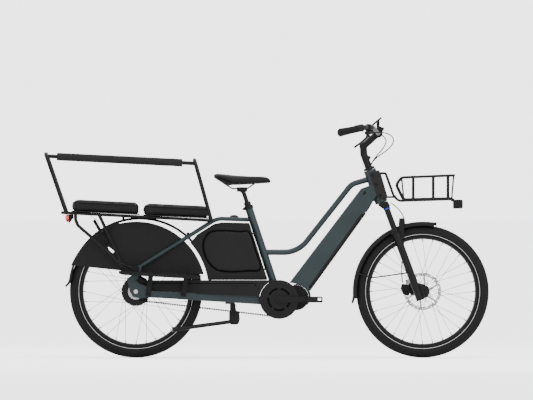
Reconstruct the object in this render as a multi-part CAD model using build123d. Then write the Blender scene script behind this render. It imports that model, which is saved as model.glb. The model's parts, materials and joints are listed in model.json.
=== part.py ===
"""Long-tail electric cargo bicycle. Millimetres, +X forward, +Y to the rider's left, +Z up.

The origin is on the ground, in the wheels' mid-plane, half way along the bicycle.
"""
from build123d import *
import os
from math import atan2, cos, hypot, radians, sin, sqrt, tan

# ---- overall layout
WHEEL_R = 314.5
REAR_X = -620.0
FRONT_X = 741.5
BB_X, BB_Z = 60.0, 277.0
SEAT_TOP_X, SEAT_TOP_Z = -83.0, 708.0
HEAD_X, HEAD_Z = 486.4, 900.6
STEER_ANGLE = 20.2

# ---- running and seating clearances
FIT = 0.05
GAP = 0.5

# ---- wheels
TYRE_W = 61.0
TYRE_WALL = 3.2
RIM_IN_R = 248.5
RIM_BED_R = 254.0
RIM_OUT_R = 261.0
RIM_HALF = 18.0
RIM_LIP = 2.1
SPOKES = 32
SPOKE_R = 1.0
SPOKE_RIM_Y = 3.0
NIPPLE_R = 2.2
NIPPLE_L = 12.0
AXLE_R = 6.0
FRONT_OLD = 100.0
REAR_OLD = 135.0
FLANGE_T = 3.0
HOLE_INSET = 4.0

# ---- frame tubes
SEAT_TUBE_R = 19.0
SEAT_TUBE_BORE = 13.65
TOP_TUBE_R = 13.5
STAY_R = 10.0
STAY_Y = 48.0
HEAD_R = 30.0
HEAD_BORE = 24.0
HEAD_A0, HEAD_A1 = 10.0, 174.5
DOWN_HALF = 37.0
DOWN_WALL = 4.0
DOWN_EDGE_R = 14.0
TUBE_WALL = 1.8

# ---- drive line
MOTOR_X, MOTOR_Z, MOTOR_R = 140.0, 285.0, 60.0
MOTOR_HALF = 38.0
BELT_Y = -50.0
BELT_W = 11.0
BELT_PITCH = 11.0
FRONT_TEETH = 46
REAR_TEETH = 22
BELT_T = 3.0
CRANK_L = 170.0
CRANK_Y0, CRANK_Y1 = 66.5, 80.0
PIN_END = 186.0
PEDAL_Y0, PEDAL_Y1 = 88.0, 188.0
SPINDLE_R = 10.0
GUARD_R = 92.6

# ---- fork
LEG_Y = 62.0
LEG_R = 18.0
STANCHION_R = 14.0
LEG_F = 13.0
CROWN_A0, CROWN_A1 = 174.9, 206.0
LEG_A0, LEG_A1 = 336.0, 673.0
STEERER_R = 14.3

# ---- carrier
RAIL_Y = 78.0
RAIL_R = 7.0
HOOP_R = 9.0
HOOP_Y = 130.0
PAD_R = 18.0
CUSHION_HALF = 92.0
CUSHION_T = 56.0
HOOP_BEND = 40.0
BAR_Y = 117.5
BASKET_Y = 150.0
STAND_X, STAND_Z = -160.0, 240.0
GUARD_Y = 36.3
GUARD_T = 1.4
BOARD_Y0, BOARD_Y1 = 84.0, 176.0

AXLE_Z = WHEEL_R
FRONT_PITCH_R = FRONT_TEETH * BELT_PITCH / 6.283185307
REAR_PITCH_R = REAR_TEETH * BELT_PITCH / 6.283185307
S_X, S_Z = sin(radians(STEER_ANGLE)), cos(radians(STEER_ANGLE))


# ---- helpers
def save(name, *solids):
    """Write one node as a STEP file."""
    flat = []
    for item in solids:
        flat += list(item.solids())
    shape = flat[0] if len(flat) == 1 else Compound(children=flat)
    shape.label = name
    export_step(shape, f"parts/{name}.step")


def across(face, y0, y1):
    """Extrude a side-view face from y0 to y1."""
    plane = Plane(origin=(0, y0, 0), x_dir=(1, 0, 0), z_dir=(0, -1, 0))
    solid = Solid.extrude(plane * face, Vector(0, y1 - y0, 0))
    return solid if solid.volume > 0 else Solid(solid.wrapped.Reversed())


def prism(points, y0, y1, round_r=0.0):
    """Extrude a side-view outline (x, z) from y0 to y1, its corners rounded."""
    wire = Wire(Polyline(*points, close=True).edges())
    face = Face(wire)
    if round_r:
        face = fillet(face.vertices(), round_r).faces()[0]
    return across(face, y0, y1)


def rod(p, q, r, bore=0.0):
    """A round bar, or a tube with a bore, between two points."""
    p, q = Vector(*p), Vector(*q)
    plane = Plane(origin=p, z_dir=q - p)
    length = (q - p).length
    solid = Solid.make_cylinder(r, length, plane)
    if bore:
        solid = solid - Solid.make_cylinder(bore, length, plane)
    return solid


def cross(x, z, y0, y1, r, bore=0.0):
    """A round bar along Y."""
    return rod((x, y0, z), (x, y1, z), r, bore)


def pipe(points, radii, r, bore=0.0):
    """A bent tube: straight runs joined by tangent arcs."""
    path = FilletPolyline(*points, radius=radii) if len(points) > 2 else Line(*points)
    start = Plane(origin=path @ 0, z_dir=path % 0)
    solid = sweep(start * Circle(r), path=path)
    if bore:
        solid = solid - sweep(start * Circle(bore), path=path)
    return solid


def turned(points, x=0.0, z=0.0):
    """Turn a closed (radius, y) outline about the Y axis through (x, z)."""
    face = Face(Wire(Polyline(*points, close=True).edges()))
    return Pos(x, 0, z) * revolve(face, Axis.Y, 360)


def box(x0, x1, y0, y1, z0, z1, round_r=0.0):
    """A block between two corners, its upright edges rounded."""
    solid = Pos((x0 + x1) / 2, (y0 + y1) / 2, (z0 + z1) / 2) * Box(x1 - x0, y1 - y0, z1 - z0)
    if round_r:
        solid = fillet(solid.edges().filter_by(Axis.Z), round_r)
    return solid


def mirrored(shape):
    """The same piece on the other side of the bicycle."""
    return mirror(shape, about=Plane.XZ)


def steer(a, f, y=0.0):
    """A point a below the steering reference along the steering axis and f in front of it."""
    return (HEAD_X + S_X * a + S_Z * f, y, HEAD_Z - S_Z * a + S_X * f)


def steer_xz(a, f):
    """The same point in the side view."""
    x, _, z = steer(a, f)
    return (x, z)


def seat_point(s, f=0.0):
    """A point s along the seat tube from the bottom bracket and f in front of it."""
    length = hypot(SEAT_TOP_X - BB_X, SEAT_TOP_Z - BB_Z)
    dx, dz = (SEAT_TOP_X - BB_X) / length, (SEAT_TOP_Z - BB_Z) / length
    return (BB_X + dx * s + dz * f, BB_Z + dz * s - dx * f)


# ---- wheels
def rim():
    """A box-section rim with a bed for the tyre and a lip on each side."""
    half, lip = RIM_HALF, RIM_HALF - RIM_LIP
    return turned([(RIM_IN_R, -10), (RIM_BED_R - 2, -half), (RIM_OUT_R, -half), (RIM_OUT_R, -lip),
                   (RIM_BED_R, -lip), (RIM_BED_R, lip), (RIM_OUT_R, lip), (RIM_OUT_R, half),
                   (RIM_BED_R - 2, half), (RIM_IN_R, 10)])


def tyre(rim_solid):
    """A balloon tyre, open to the rim bed, its beads between the rim's lips."""
    centre = WHEEL_R - TYRE_W / 2
    ring = Pos(centre, 0) * Circle(TYRE_W / 2)
    ring -= Pos(centre, 0) * Circle(TYRE_W / 2 - TYRE_WALL)
    ring -= Pos(RIM_BED_R, 0) * Rectangle(8, 16)
    ring = ring - Pos(RIM_BED_R - 10, 0) * Rectangle(20, 60)
    return revolve(ring, Axis.Y, 360) - rim_solid


def spokes(flange_r, hole_r, flange_y, turn):
    """Crossed spokes with their nipples: half lead and half trail on each flange."""
    step = 720 / SPOKES
    angle = radians(turn)
    length = sqrt(hole_r ** 2 + RIM_IN_R ** 2 - 2 * hole_r * RIM_IN_R * cos(angle))
    tilt = hole_r * sin(angle) / length
    rim_r = RIM_IN_R - NIPPLE_R * tilt - 5 * FIT
    outward = hole_r * (RIM_IN_R * cos(angle) - hole_r) / length
    leave = sqrt(outward ** 2 + flange_r ** 2 - hole_r ** 2) - outward
    fall = leave * (flange_y - SPOKE_RIM_Y) / length
    near = FLANGE_T / 2 + SPOKE_R + 4 * FIT
    out = []
    for side in (-1, 1):
        shift = 0 if side < 0 else step / 2
        for k in range(SPOKES // 4):
            for lead, off in ((-1, near + fall), (1, -near)):
                hub_a = radians(2 * step * k + (0 if lead < 0 else step) + shift)
                rim_a = hub_a + lead * angle
                p = Vector(hole_r * cos(hub_a), side * (flange_y + off), hole_r * sin(hub_a))
                q = Vector(rim_r * cos(rim_a), side * SPOKE_RIM_Y, rim_r * sin(rim_a))
                full = (q - p).length
                seat = full - NIPPLE_L
                profile = Polyline((0, 0), (SPOKE_R, 0), (SPOKE_R, seat), (NIPPLE_R, seat),
                                   (NIPPLE_R, full), (0, full), close=True)
                upright = Rot(90, 0, 0) * revolve(Face(Wire(profile.edges())), Axis.Y, 360)
                out.append(Plane(origin=p, z_dir=q - p) * upright)
    return out


def rotor(outer_r, inner_r, y):
    """A brake rotor: vented ring, six arms and a hub ring."""
    ring = cross(0, 0, y - 1, y + 1, outer_r, outer_r - 15)
    holes = []
    for k in range(24):
        t = radians(15 * k)
        r = outer_r - 5 - 5 * (k % 2)
        holes.append(cross(r * cos(t), r * sin(t), y - 2, y + 2, 3.2))
    ring = ring - Compound(children=holes)
    ring += cross(0, 0, y - 1, y + 1, inner_r + 9, inner_r)
    for k in range(6):
        t = radians(60 * k)
        u = t + radians(24)
        p = ((inner_r + 5) * cos(t), y, (inner_r + 5) * sin(t))
        q = ((outer_r - 13) * cos(u), y, (outer_r - 13) * sin(u))
        plane = Plane(origin=p, z_dir=Vector(*q) - Vector(*p), x_dir=(0, 1, 0))
        length = (Vector(*q) - Vector(*p)).length
        ring += plane * (Pos(0, 0, length / 2) * Box(2, 7, length))
    return ring


def wheels():
    """Both wheels: tyre, rim, spokes and hub, each at its axle."""
    rim_solid = rim()
    tyre_solid = tyre(rim_solid)
    flange_f, y_f = 33.0, 29.0
    flange_r, y_r = 66.0, 31.0
    out = {}
    for name, x, fr, fy, turn in (("front", FRONT_X, flange_f, y_f, 67.5),
                                  ("rear", REAR_X, flange_r, y_r, 45.0)):
        at = Pos(x, 0, AXLE_Z)
        save(f"{name}_rim", at * rim_solid)
        save(f"{name}_tyre", at * tyre_solid)
        save(f"{name}_spokes", *[at * s for s in spokes(fr, fr - HOLE_INSET, fy, turn)])
    half = FRONT_OLD / 2 - GAP
    bore = AXLE_R + FIT
    in_f, out_f = y_f - FLANGE_T / 2, y_f + FLANGE_T / 2
    front = turned([(bore, -half), (13, -half), (15, -out_f), (flange_f, -out_f), (flange_f, -in_f),
                    (19, -in_f), (17, -12), (17, 12), (19, in_f), (flange_f, in_f), (flange_f, out_f),
                    (19, out_f), (19, 38.95), (13, 38.95), (13, half), (bore, half)])
    save("front_hub", Pos(FRONT_X, 0, AXLE_Z) * front)
    save("front_rotor", Pos(FRONT_X, 0, AXLE_Z) * rotor(89, 13.0, 40))
    in_r, out_r = y_r - FLANGE_T / 2, y_r + FLANGE_T / 2
    half = 57.0
    rear = turned([(bore, -40), (22, -40), (26, -34), (flange_r - 14, -out_r), (flange_r, -out_r),
                   (flange_r, -in_r), (60, -in_r), (60, in_r), (flange_r, in_r), (flange_r, out_r),
                   (flange_r - 14, out_r), (28, 36), (28, 44), (16, 44), (16, half), (bore, half)])
    save("rear_hub", Pos(REAR_X, 0, AXLE_Z) * rear, Pos(REAR_X, 0, AXLE_Z) * rotor(70, 16.0, 46))


# ---- drive line
def belt_outline(offset):
    """The belt loop's side view at an offset outside the pitch line."""
    r0, r1 = REAR_PITCH_R + offset, FRONT_PITCH_R + offset
    dx, dz = BB_X - REAR_X, BB_Z - AXLE_Z
    dist = hypot(dx, dz)
    base = atan2(dz, dx)
    lean = atan2(r1 - r0, sqrt(dist * dist - (r1 - r0) ** 2))
    def at(cx, cz, r, a):
        return (cx + r * cos(a), cz + r * sin(a))
    up, low = base + radians(90) + lean, base - radians(90) - lean
    top = [at(REAR_X, AXLE_Z, r0, up), at(BB_X, BB_Z, r1, up)]
    bottom = [at(BB_X, BB_Z, r1, low), at(REAR_X, AXLE_Z, r0, low)]
    front = ThreePointArc(top[1], at(BB_X, BB_Z, r1, base), bottom[0])
    rear = ThreePointArc(bottom[1], at(REAR_X, AXLE_Z, r0, base + radians(180)), top[0])
    edges = [*Line(*top).edges(), *front.edges(), *Line(*bottom).edges(), *rear.edges()]
    return Face(Wire(edges)), top, bottom


def belt():
    """A toothed belt: a smooth band round both sprockets, teeth inwards on its straight runs."""
    root = GAP
    outer, _, _ = belt_outline(root + BELT_T)
    inner, top, bottom = belt_outline(root)
    y1 = BELT_Y + BELT_W / 2
    solid = across(outer, y1 - BELT_W, y1) - across(inner, y1 - BELT_W, y1)
    teeth = []
    for run, way in ((top, -1), (bottom, 1)):
        p, q = Vector(*run[0]), Vector(*run[1])
        d = (q - p).normalized()
        n = Vector(-d.Y, d.X) * way
        if run is bottom:
            n = n * -1
        count = int((q - p).length // BELT_PITCH) - 6
        for k in range(count):
            c = p + d * (BELT_PITCH * (k + 3.5))
            corners = [c - d * 3.4 + n * -0.2, c + d * 3.4 + n * -0.2, c + d * 2.2 + n * 3.2,
                       c - d * 2.2 + n * 3.2]
            teeth.append(prism([(v.X, v.Y) for v in corners], y1 - BELT_W, y1))
    return solid + teeth


def sprocket(x, z, teeth, root_r, tip_r, y0, y1):
    """A belt sprocket with rounded gaps between its teeth."""
    solid = cross(x, z, y0, y1, tip_r)
    gaps = []
    for k in range(teeth):
        t = radians(360 * k / teeth)
        gap_x, gap_z = x + (tip_r + 0.6) * cos(t), z + (tip_r + 0.6) * sin(t)
        gaps.append(cross(gap_x, gap_z, y0 - 1, y1 + 1, tip_r - root_r))
    return solid - Compound(children=gaps)


def drive():
    """Motor, cranks, sprockets, belt and its cover."""
    y0, y1 = BELT_Y - BELT_W / 2 - 1.5, BELT_Y + BELT_W / 2 + 1.5
    motor = cross(MOTOR_X, MOTOR_Z, -MOTOR_HALF, MOTOR_HALF, MOTOR_R)
    motor += cross(BB_X, BB_Z, -MOTOR_HALF, MOTOR_HALF, 38)
    motor += prism([(BB_X, BB_Z + 37), (MOTOR_X, MOTOR_Z + 59), (MOTOR_X, MOTOR_Z - 59), (BB_X, BB_Z - 37)],
                   -MOTOR_HALF, MOTOR_HALF)
    for k in range(5):
        r = MOTOR_R - 6 * k - 6
        motor += cross(MOTOR_X, MOTOR_Z, -MOTOR_HALF - 1.5, -MOTOR_HALF, r, r - 2.5)
    motor += cross(MOTOR_X, MOTOR_Z, MOTOR_HALF, MOTOR_HALF + 6, MOTOR_R - 8)
    motor += cross(BB_X, BB_Z, -41, -MOTOR_HALF, 62)
    motor -= cross(BB_X, BB_Z, -60, 60, SPINDLE_R + FIT)
    motor = motor.solids()[0]
    save("motor", motor)

    front = sprocket(BB_X, BB_Z, FRONT_TEETH, FRONT_PITCH_R - 3.4, FRONT_PITCH_R, y0 + 1.5, y1 - 1.5)
    front -= cross(BB_X, BB_Z, y0, y1, 66)
    front += cross(BB_X, BB_Z, y0, y0 + 1.5, FRONT_PITCH_R + 3, 63)
    guard = cross(BB_X, BB_Z, -63, -60, GUARD_R, 56)
    guard += cross(BB_X, BB_Z, -63, -60, 46)
    for k in range(5):
        t = radians(72 * k + 18)
        guard += cross(BB_X + 52 * cos(t), BB_Z + 52 * sin(t), -63, -60, 8)
        guard += cross(BB_X + 64.5 * cos(t), BB_Z + 64.5 * sin(t), -60, y0 + 1.5, 4.5)
    guard -= cross(BB_X, BB_Z, -64, -59, SPINDLE_R)
    save("front_sprocket", front, guard)

    rear = sprocket(REAR_X, AXLE_Z, REAR_TEETH, REAR_PITCH_R - 3.4, REAR_PITCH_R, BELT_Y - 6, BELT_Y + 6)
    rear -= cross(REAR_X, AXLE_Z, BELT_Y - 7, BELT_Y + 7, 30)
    rear += cross(REAR_X, AXLE_Z, BELT_Y - 1.5, BELT_Y + 6, 31, 22.05)
    rear += cross(REAR_X, AXLE_Z, BELT_Y - 1.5, BELT_Y + 1.5, 23, AXLE_R + FIT)
    save("rear_sprocket", rear)
    save("drive_belt", belt())

    spindle = cross(BB_X, BB_Z, -78, 78, SPINDLE_R)
    arms = []
    for side in (-1, 1):
        ya, yb = sorted((side * CRANK_Y0, side * CRANK_Y1))
        tip = BB_X - side * CRANK_L
        ends = [(BB_X, 17), (tip, 12.5)]
        arm = cross(ends[0][0], BB_Z, ya, yb, ends[0][1]) + cross(ends[1][0], BB_Z, ya, yb, ends[1][1])
        arm += prism([(BB_X, BB_Z + 15), (tip, BB_Z + 12), (tip, BB_Z - 12), (BB_X, BB_Z - 15)], ya, yb)
        arm -= cross(tip, BB_Z, ya - 1, yb + 1, 7)
        arms.append(arm - cross(BB_X, BB_Z, -78, 78, SPINDLE_R))
        pin = cross(tip, BB_Z, *sorted((side * CRANK_Y0, side * PIN_END)), 5)
        pin += cross(tip, BB_Z, ya, yb, 7)
        arms.append(pin)
    save("crank_arms", spindle, *arms)

    for side, name in ((-1, "pedal_right"), (1, "pedal_left")):
        tip = BB_X - side * CRANK_L
        ya, yb = sorted((side * PEDAL_Y0, side * PEDAL_Y1))
        body = box(tip - 36, tip + 36, ya, yb, BB_Z - 14, BB_Z + 14)
        body = fillet(body.edges().filter_by(Axis.Y), 6)
        for x0, x1 in ((tip - 30, tip - 12), (tip + 12, tip + 30)):
            body -= box(x0, x1, ya + 10, yb - 10, BB_Z - 20, BB_Z + 20)
        body -= box(tip + 14, tip + 29, ya - 1, yb + 1, BB_Z - 5, BB_Z + 8)
        body -= cross(tip, BB_Z, *sorted((side * (PEDAL_Y0 - 1), side * (PIN_END + 1))), 5 + FIT)
        save(name, body)

    cover_y = (-66.0, -40.5)
    outline = [(-604, 343), (-600, 362), (-588, 368.6), (BB_X - 10, 368.6), (BB_X - 10, 288),
               (-330, 303), (-340, 307.2), (-560, 317.9)]
    cover = prism(outline, *cover_y)
    inner = prism([(-640, 366), (BB_X + 40, 366), (BB_X + 40, 290), (-640, 290)],
                  cover_y[0] + 2.5, cover_y[1] + 3)
    cover -= inner
    cover -= cross(BB_X, BB_Z, -70, -30, GUARD_R + 1.2)
    save("belt_cover", cover)
    return motor


# ---- frame
def down_line(u, w):
    """A point u along the down tube's lower edge and w above it."""
    x0, z0, x1, z1 = 195.0, 302.0, 482.0, 700.0
    length = hypot(x1 - x0, z1 - z0)
    dx, dz = (x1 - x0) / length, (z1 - z0) / length
    return (x0 + dx * u - dz * w, z0 + dz * u + dx * w)


def round_lane(p, q, side):
    """A long bar whose rounded edges run along the side-view line from p to q, on one side of it."""
    origin, end = Vector(p[0], 0, p[1]), Vector(q[0], 0, q[1])
    plane = Plane(origin=origin, x_dir=(0, 1, 0), z_dir=end - origin)
    shape = plane * (Pos(0, side * 150) * RectangleRounded(2 * DOWN_HALF, 300, DOWN_EDGE_R))
    return extrude(shape, amount=900, both=True)


def frame(motor):
    """Tubes of the main frame, each cut to fit its neighbours."""
    head_cut = rod(steer(HEAD_A0 - 20, 0), steer(HEAD_A1 + 20, 0), HEAD_R)
    head = rod(steer(HEAD_A0, 0), steer(HEAD_A1, 0), HEAD_R)
    for a in (38.9, 83.5, 138.9):
        x, _, z = steer(a, 5)
        head += cross(x, z, -32, 32, 8)
    head -= rod(steer(HEAD_A0 - 5, 0), steer(HEAD_A1 + 5, 0), HEAD_BORE)
    bearings = [rod(steer(a, 0), steer(a + 12, 0), HEAD_BORE, STEERER_R + FIT) for a in (14, 158)]
    save("head_tube", head, *bearings)

    motor_cut = cross(MOTOR_X, MOTOR_Z, -60, 60, MOTOR_R + GAP)
    bb_cut = cross(BB_X, BB_Z, -60, 60, 38 + GAP)
    outline = [(108, 356), (448, 803), steer_xz(78, -9), steer_xz(160, -9), (506, 742), (490, 714),
               (482, 700), (199, 307), (190, 330), (140, 352)]
    down = prism(outline, -DOWN_HALF, DOWN_HALF)
    down &= round_lane(down_line(0, 0), down_line(400, 0), 1)
    down &= round_lane(outline[0], outline[1], -1)
    down -= head_cut
    down -= cross(MOTOR_X, MOTOR_Z, -60, 60, MOTOR_R + GAP)
    bay = prism([down_line(18, -20), down_line(478, -20), down_line(478, 76), down_line(18, 76)],
                -DOWN_HALF + DOWN_WALL, DOWN_HALF - DOWN_WALL)
    down -= bay
    pack = prism([down_line(22, 2), down_line(472, 2), down_line(472, 70), down_line(22, 70)], -30, 30, 4)
    strip = prism([down_line(20, -1.5), down_line(474, -1.5), down_line(474, 14), down_line(20, 14)],
                  -DOWN_HALF + DOWN_WALL + GAP, DOWN_HALF - DOWN_WALL - GAP, 1)
    save("battery", pack + strip)
    save("down_tube", down)

    length = hypot(SEAT_TOP_X - BB_X, SEAT_TOP_Z - BB_Z)
    top = seat_point(length)
    foot = seat_point(30)
    seat = rod((foot[0], 0, foot[1]), (top[0], 0, top[1]), SEAT_TUBE_R, SEAT_TUBE_BORE) - bb_cut
    seat -= motor
    save("seat_tube", seat)
    seat_cut = rod((BB_X, 0, BB_Z), (top[0], 0, top[1]), SEAT_TUBE_R)

    path = [(-4, 0, 501), (149, 0, 500), (404, 0, 824), (500, 0, 852)]
    top_tube = pipe(path, [140, 70], TOP_TUBE_R, TOP_TUBE_R - TUBE_WALL) - seat_cut - head_cut
    top_tube -= prism([(300, 600), (448, 803), steer_xz(78, -9), steer_xz(200, -9)], -20, 20)
    top_tube = top_tube.solids().sort_by(SortBy.VOLUME)[-1]
    save("top_tube", top_tube)

    stay = [(-604, STAY_Y, 429), (-236, STAY_Y, 661), (-88, STAY_Y, 656), (-88, -STAY_Y, 656),
            (-236, -STAY_Y, 661), (-604, -STAY_Y, 429)]
    stays = pipe(stay, [90, 46, 46, 90], STAY_R, STAY_R - TUBE_WALL) - seat_cut
    save("seat_stays", stays)
    stays_cut = pipe(stay, [90, 46, 46, 90], STAY_R)

    stays = []
    for side in (-1, 1):
        rear_y, front_y = 75.0, 31.0
        outline = [(-600, 319.5), (-36, 292), (-12, 252), (-600, 289.5)]
        raw = prism(outline, -200, 200)
        lane = Polyline((-640, side * (rear_y + 8), 0), (0, side * (front_y + 7), 0),
                        (0, side * (front_y - 9), 0), (-640, side * (rear_y - 8), 0), close=True)
        lane = Solid.extrude(Face(Wire(lane.edges())), Vector(0, 0, 500))
        solid = raw & lane
        solid -= bb_cut
        plate_y = (REAR_OLD / 2, REAR_OLD / 2 + 8)
        yy = plate_y if side > 0 else (-plate_y[1], -plate_y[0])
        plate = prism([(-664, 376), (-640, 392), (-604, 352), (-560, 336), (-560, 287), (-600, 282),
                       (-634, 290), (-648, 315)], *yy, 5)
        plate += prism([(-636, 404), (-606, 442), (-590, 432), (-612, 372), (-640, 372)], *yy, 4)
        plate -= cross(REAR_X, AXLE_Z, -90, 90, AXLE_R)
        solid += plate
        stays.append(solid)
    save("chain_stays", *stays)
    return seat_cut, stays_cut


def fork():
    """Crown with steerer and stanchions, and the sliding lowers with their arch and dropouts."""
    crown = prism([steer_xz(CROWN_A0 + 1, -24), steer_xz(CROWN_A0 + 1, 28), steer_xz(CROWN_A1, 34),
                   steer_xz(CROWN_A1, -4)], -LEG_Y - 18, LEG_Y + 18, 6)
    crown = fillet(crown.edges().filter_by(lambda e: abs(e.center().Y) > LEG_Y + 17), 5)
    crown += rod(steer(CROWN_A0, 0), steer(CROWN_A0 + 2, 0), HEAD_BORE)
    crown += rod(steer(-46, 0), steer(CROWN_A0 + 4, 0), STEERER_R)
    crown -= rod(steer(-50, 0), steer(CROWN_A0 + 20, 0), STEERER_R - 3)
    legs = []
    for side in (-1, 1):
        y = side * LEG_Y
        legs.append(rod(steer(CROWN_A0 + 8, LEG_F, y), steer(520, LEG_F, y), STANCHION_R, STANCHION_R - 2))
        crown -= rod(steer(CROWN_A0 + 8, LEG_F, y), steer(520, LEG_F, y), STANCHION_R)
    save("fork_crown", crown, *legs)

    lowers = prism([(626, 585), (630, 663), (653, 663), (653, 560)], -LEG_Y + 6, -LEG_Y + 16, 3)
    lowers += mirrored(lowers)
    lowers += prism([(630, 641), (630, 663), (653, 663), (653, 641)], -LEG_Y + 6, LEG_Y - 6, 3)
    for side in (-1, 1):
        y = side * LEG_Y
        lowers += rod(steer(LEG_A0, LEG_F, y), steer(LEG_A1, LEG_F, y), LEG_R)
        lowers += rod(steer(LEG_A0, LEG_F, y), steer(LEG_A0 + 16, LEG_F, y), LEG_R + 2.5)
        lug = prism([steer_xz(588, 20), steer_xz(606, 52), steer_xz(628, 66), steer_xz(656, 64),
                     steer_xz(671, 40), steer_xz(671, 10)], *sorted((side * 50, side * 66)), 6)
        lowers += lug
    for side in (-1, 1):
        y = side * LEG_Y
        lowers -= rod(steer(LEG_A0 - 5, LEG_F, y), steer(640, LEG_F, y), STANCHION_R + FIT)
    wheel_room = cross(FRONT_X, AXLE_Z, -50, 50, 60)
    lowers = lowers - wheel_room - cross(FRONT_X, AXLE_Z, -90, 90, AXLE_R)
    axle = cross(FRONT_X, AXLE_Z, -72, 72, AXLE_R) + cross(FRONT_X, AXLE_Z, -74, -66, 10)
    save("fork_lowers", lowers, axle + cross(FRONT_X, AXLE_Z, 66, 74, 10))

    caliper = prism([(644, 352), (676, 345), (684, 318), (676, 292), (650, 300), (637, 328)], 31, 49, 5)
    caliper -= cross(FRONT_X, AXLE_Z, 38, 42, 95)
    mount = prism([steer_xz(560, -4), steer_xz(640, -4), steer_xz(640, -22), steer_xz(560, -22)], 44, 56, 3)
    mount -= rod(steer(LEG_A0, LEG_F, LEG_Y), steer(LEG_A1, LEG_F, LEG_Y), LEG_R)
    caliper = caliper + mount - cross(FRONT_X, AXLE_Z, 38, 42, 95)
    save("front_caliper", caliper)
    return caliper, lowers


def mudguard(x, z, r, a0, a1, half, wall, drop):
    """A mudguard: an arched section with a skirt on each side, turned about the wheel."""
    outer = [(r - drop, half), (r - 7, half - 1.5), (r - 2, half - 8), (r, half - 20)]
    inner = [(r - wall, half - 20), (r - 2 - wall, half - 9), (r - 8, half - 1.5 - wall),
             (r - drop, half - wall)]
    outline = outer + [(a, -b) for a, b in reversed(outer)] + [(a, -b) for a, b in reversed(inner)] + inner
    face = Face(Wire(Polyline(*outline, close=True).edges()))
    solid = revolve(Rot(0, -a0, 0) * face, Axis.Y, -(a1 - a0))
    return Pos(x, 0, z) * solid


def mudguards():
    """Front mudguard with its stays, and rear mudguard."""
    front = mudguard(FRONT_X, AXLE_Z, 332, 80, 186, 36, 2.5, 19.5)
    front += box(636, 651, -8, 8, 628, 640.7) - cross(FRONT_X, AXLE_Z, -9, 9, 330)
    stays = []
    for side in (-1, 1):
        y = side * 39
        stay = pipe([(676, side * 62, 404), (600, side * 48, 393), (505, y, 380), (426, y, 402)],
                    [30, 30], 3)
        leg = rod(steer(LEG_A0, LEG_F, side * LEG_Y), steer(LEG_A1, LEG_F, side * LEG_Y), LEG_R)
        stays.append(stay - leg)
    save("front_fender", front, *stays)
    rear = mudguard(REAR_X + 19, AXLE_Z + 11.5, 341, -4, 173, 36, 2.5, 11.5)
    rear += box(-686, -674, -8, 8, 656.5, 674)
    rear -= cross(-680, rail_z(-680), -20, 20, 5.5)
    save("rear_fender", rear.solids().sort_by(SortBy.VOLUME)[-1])


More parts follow.
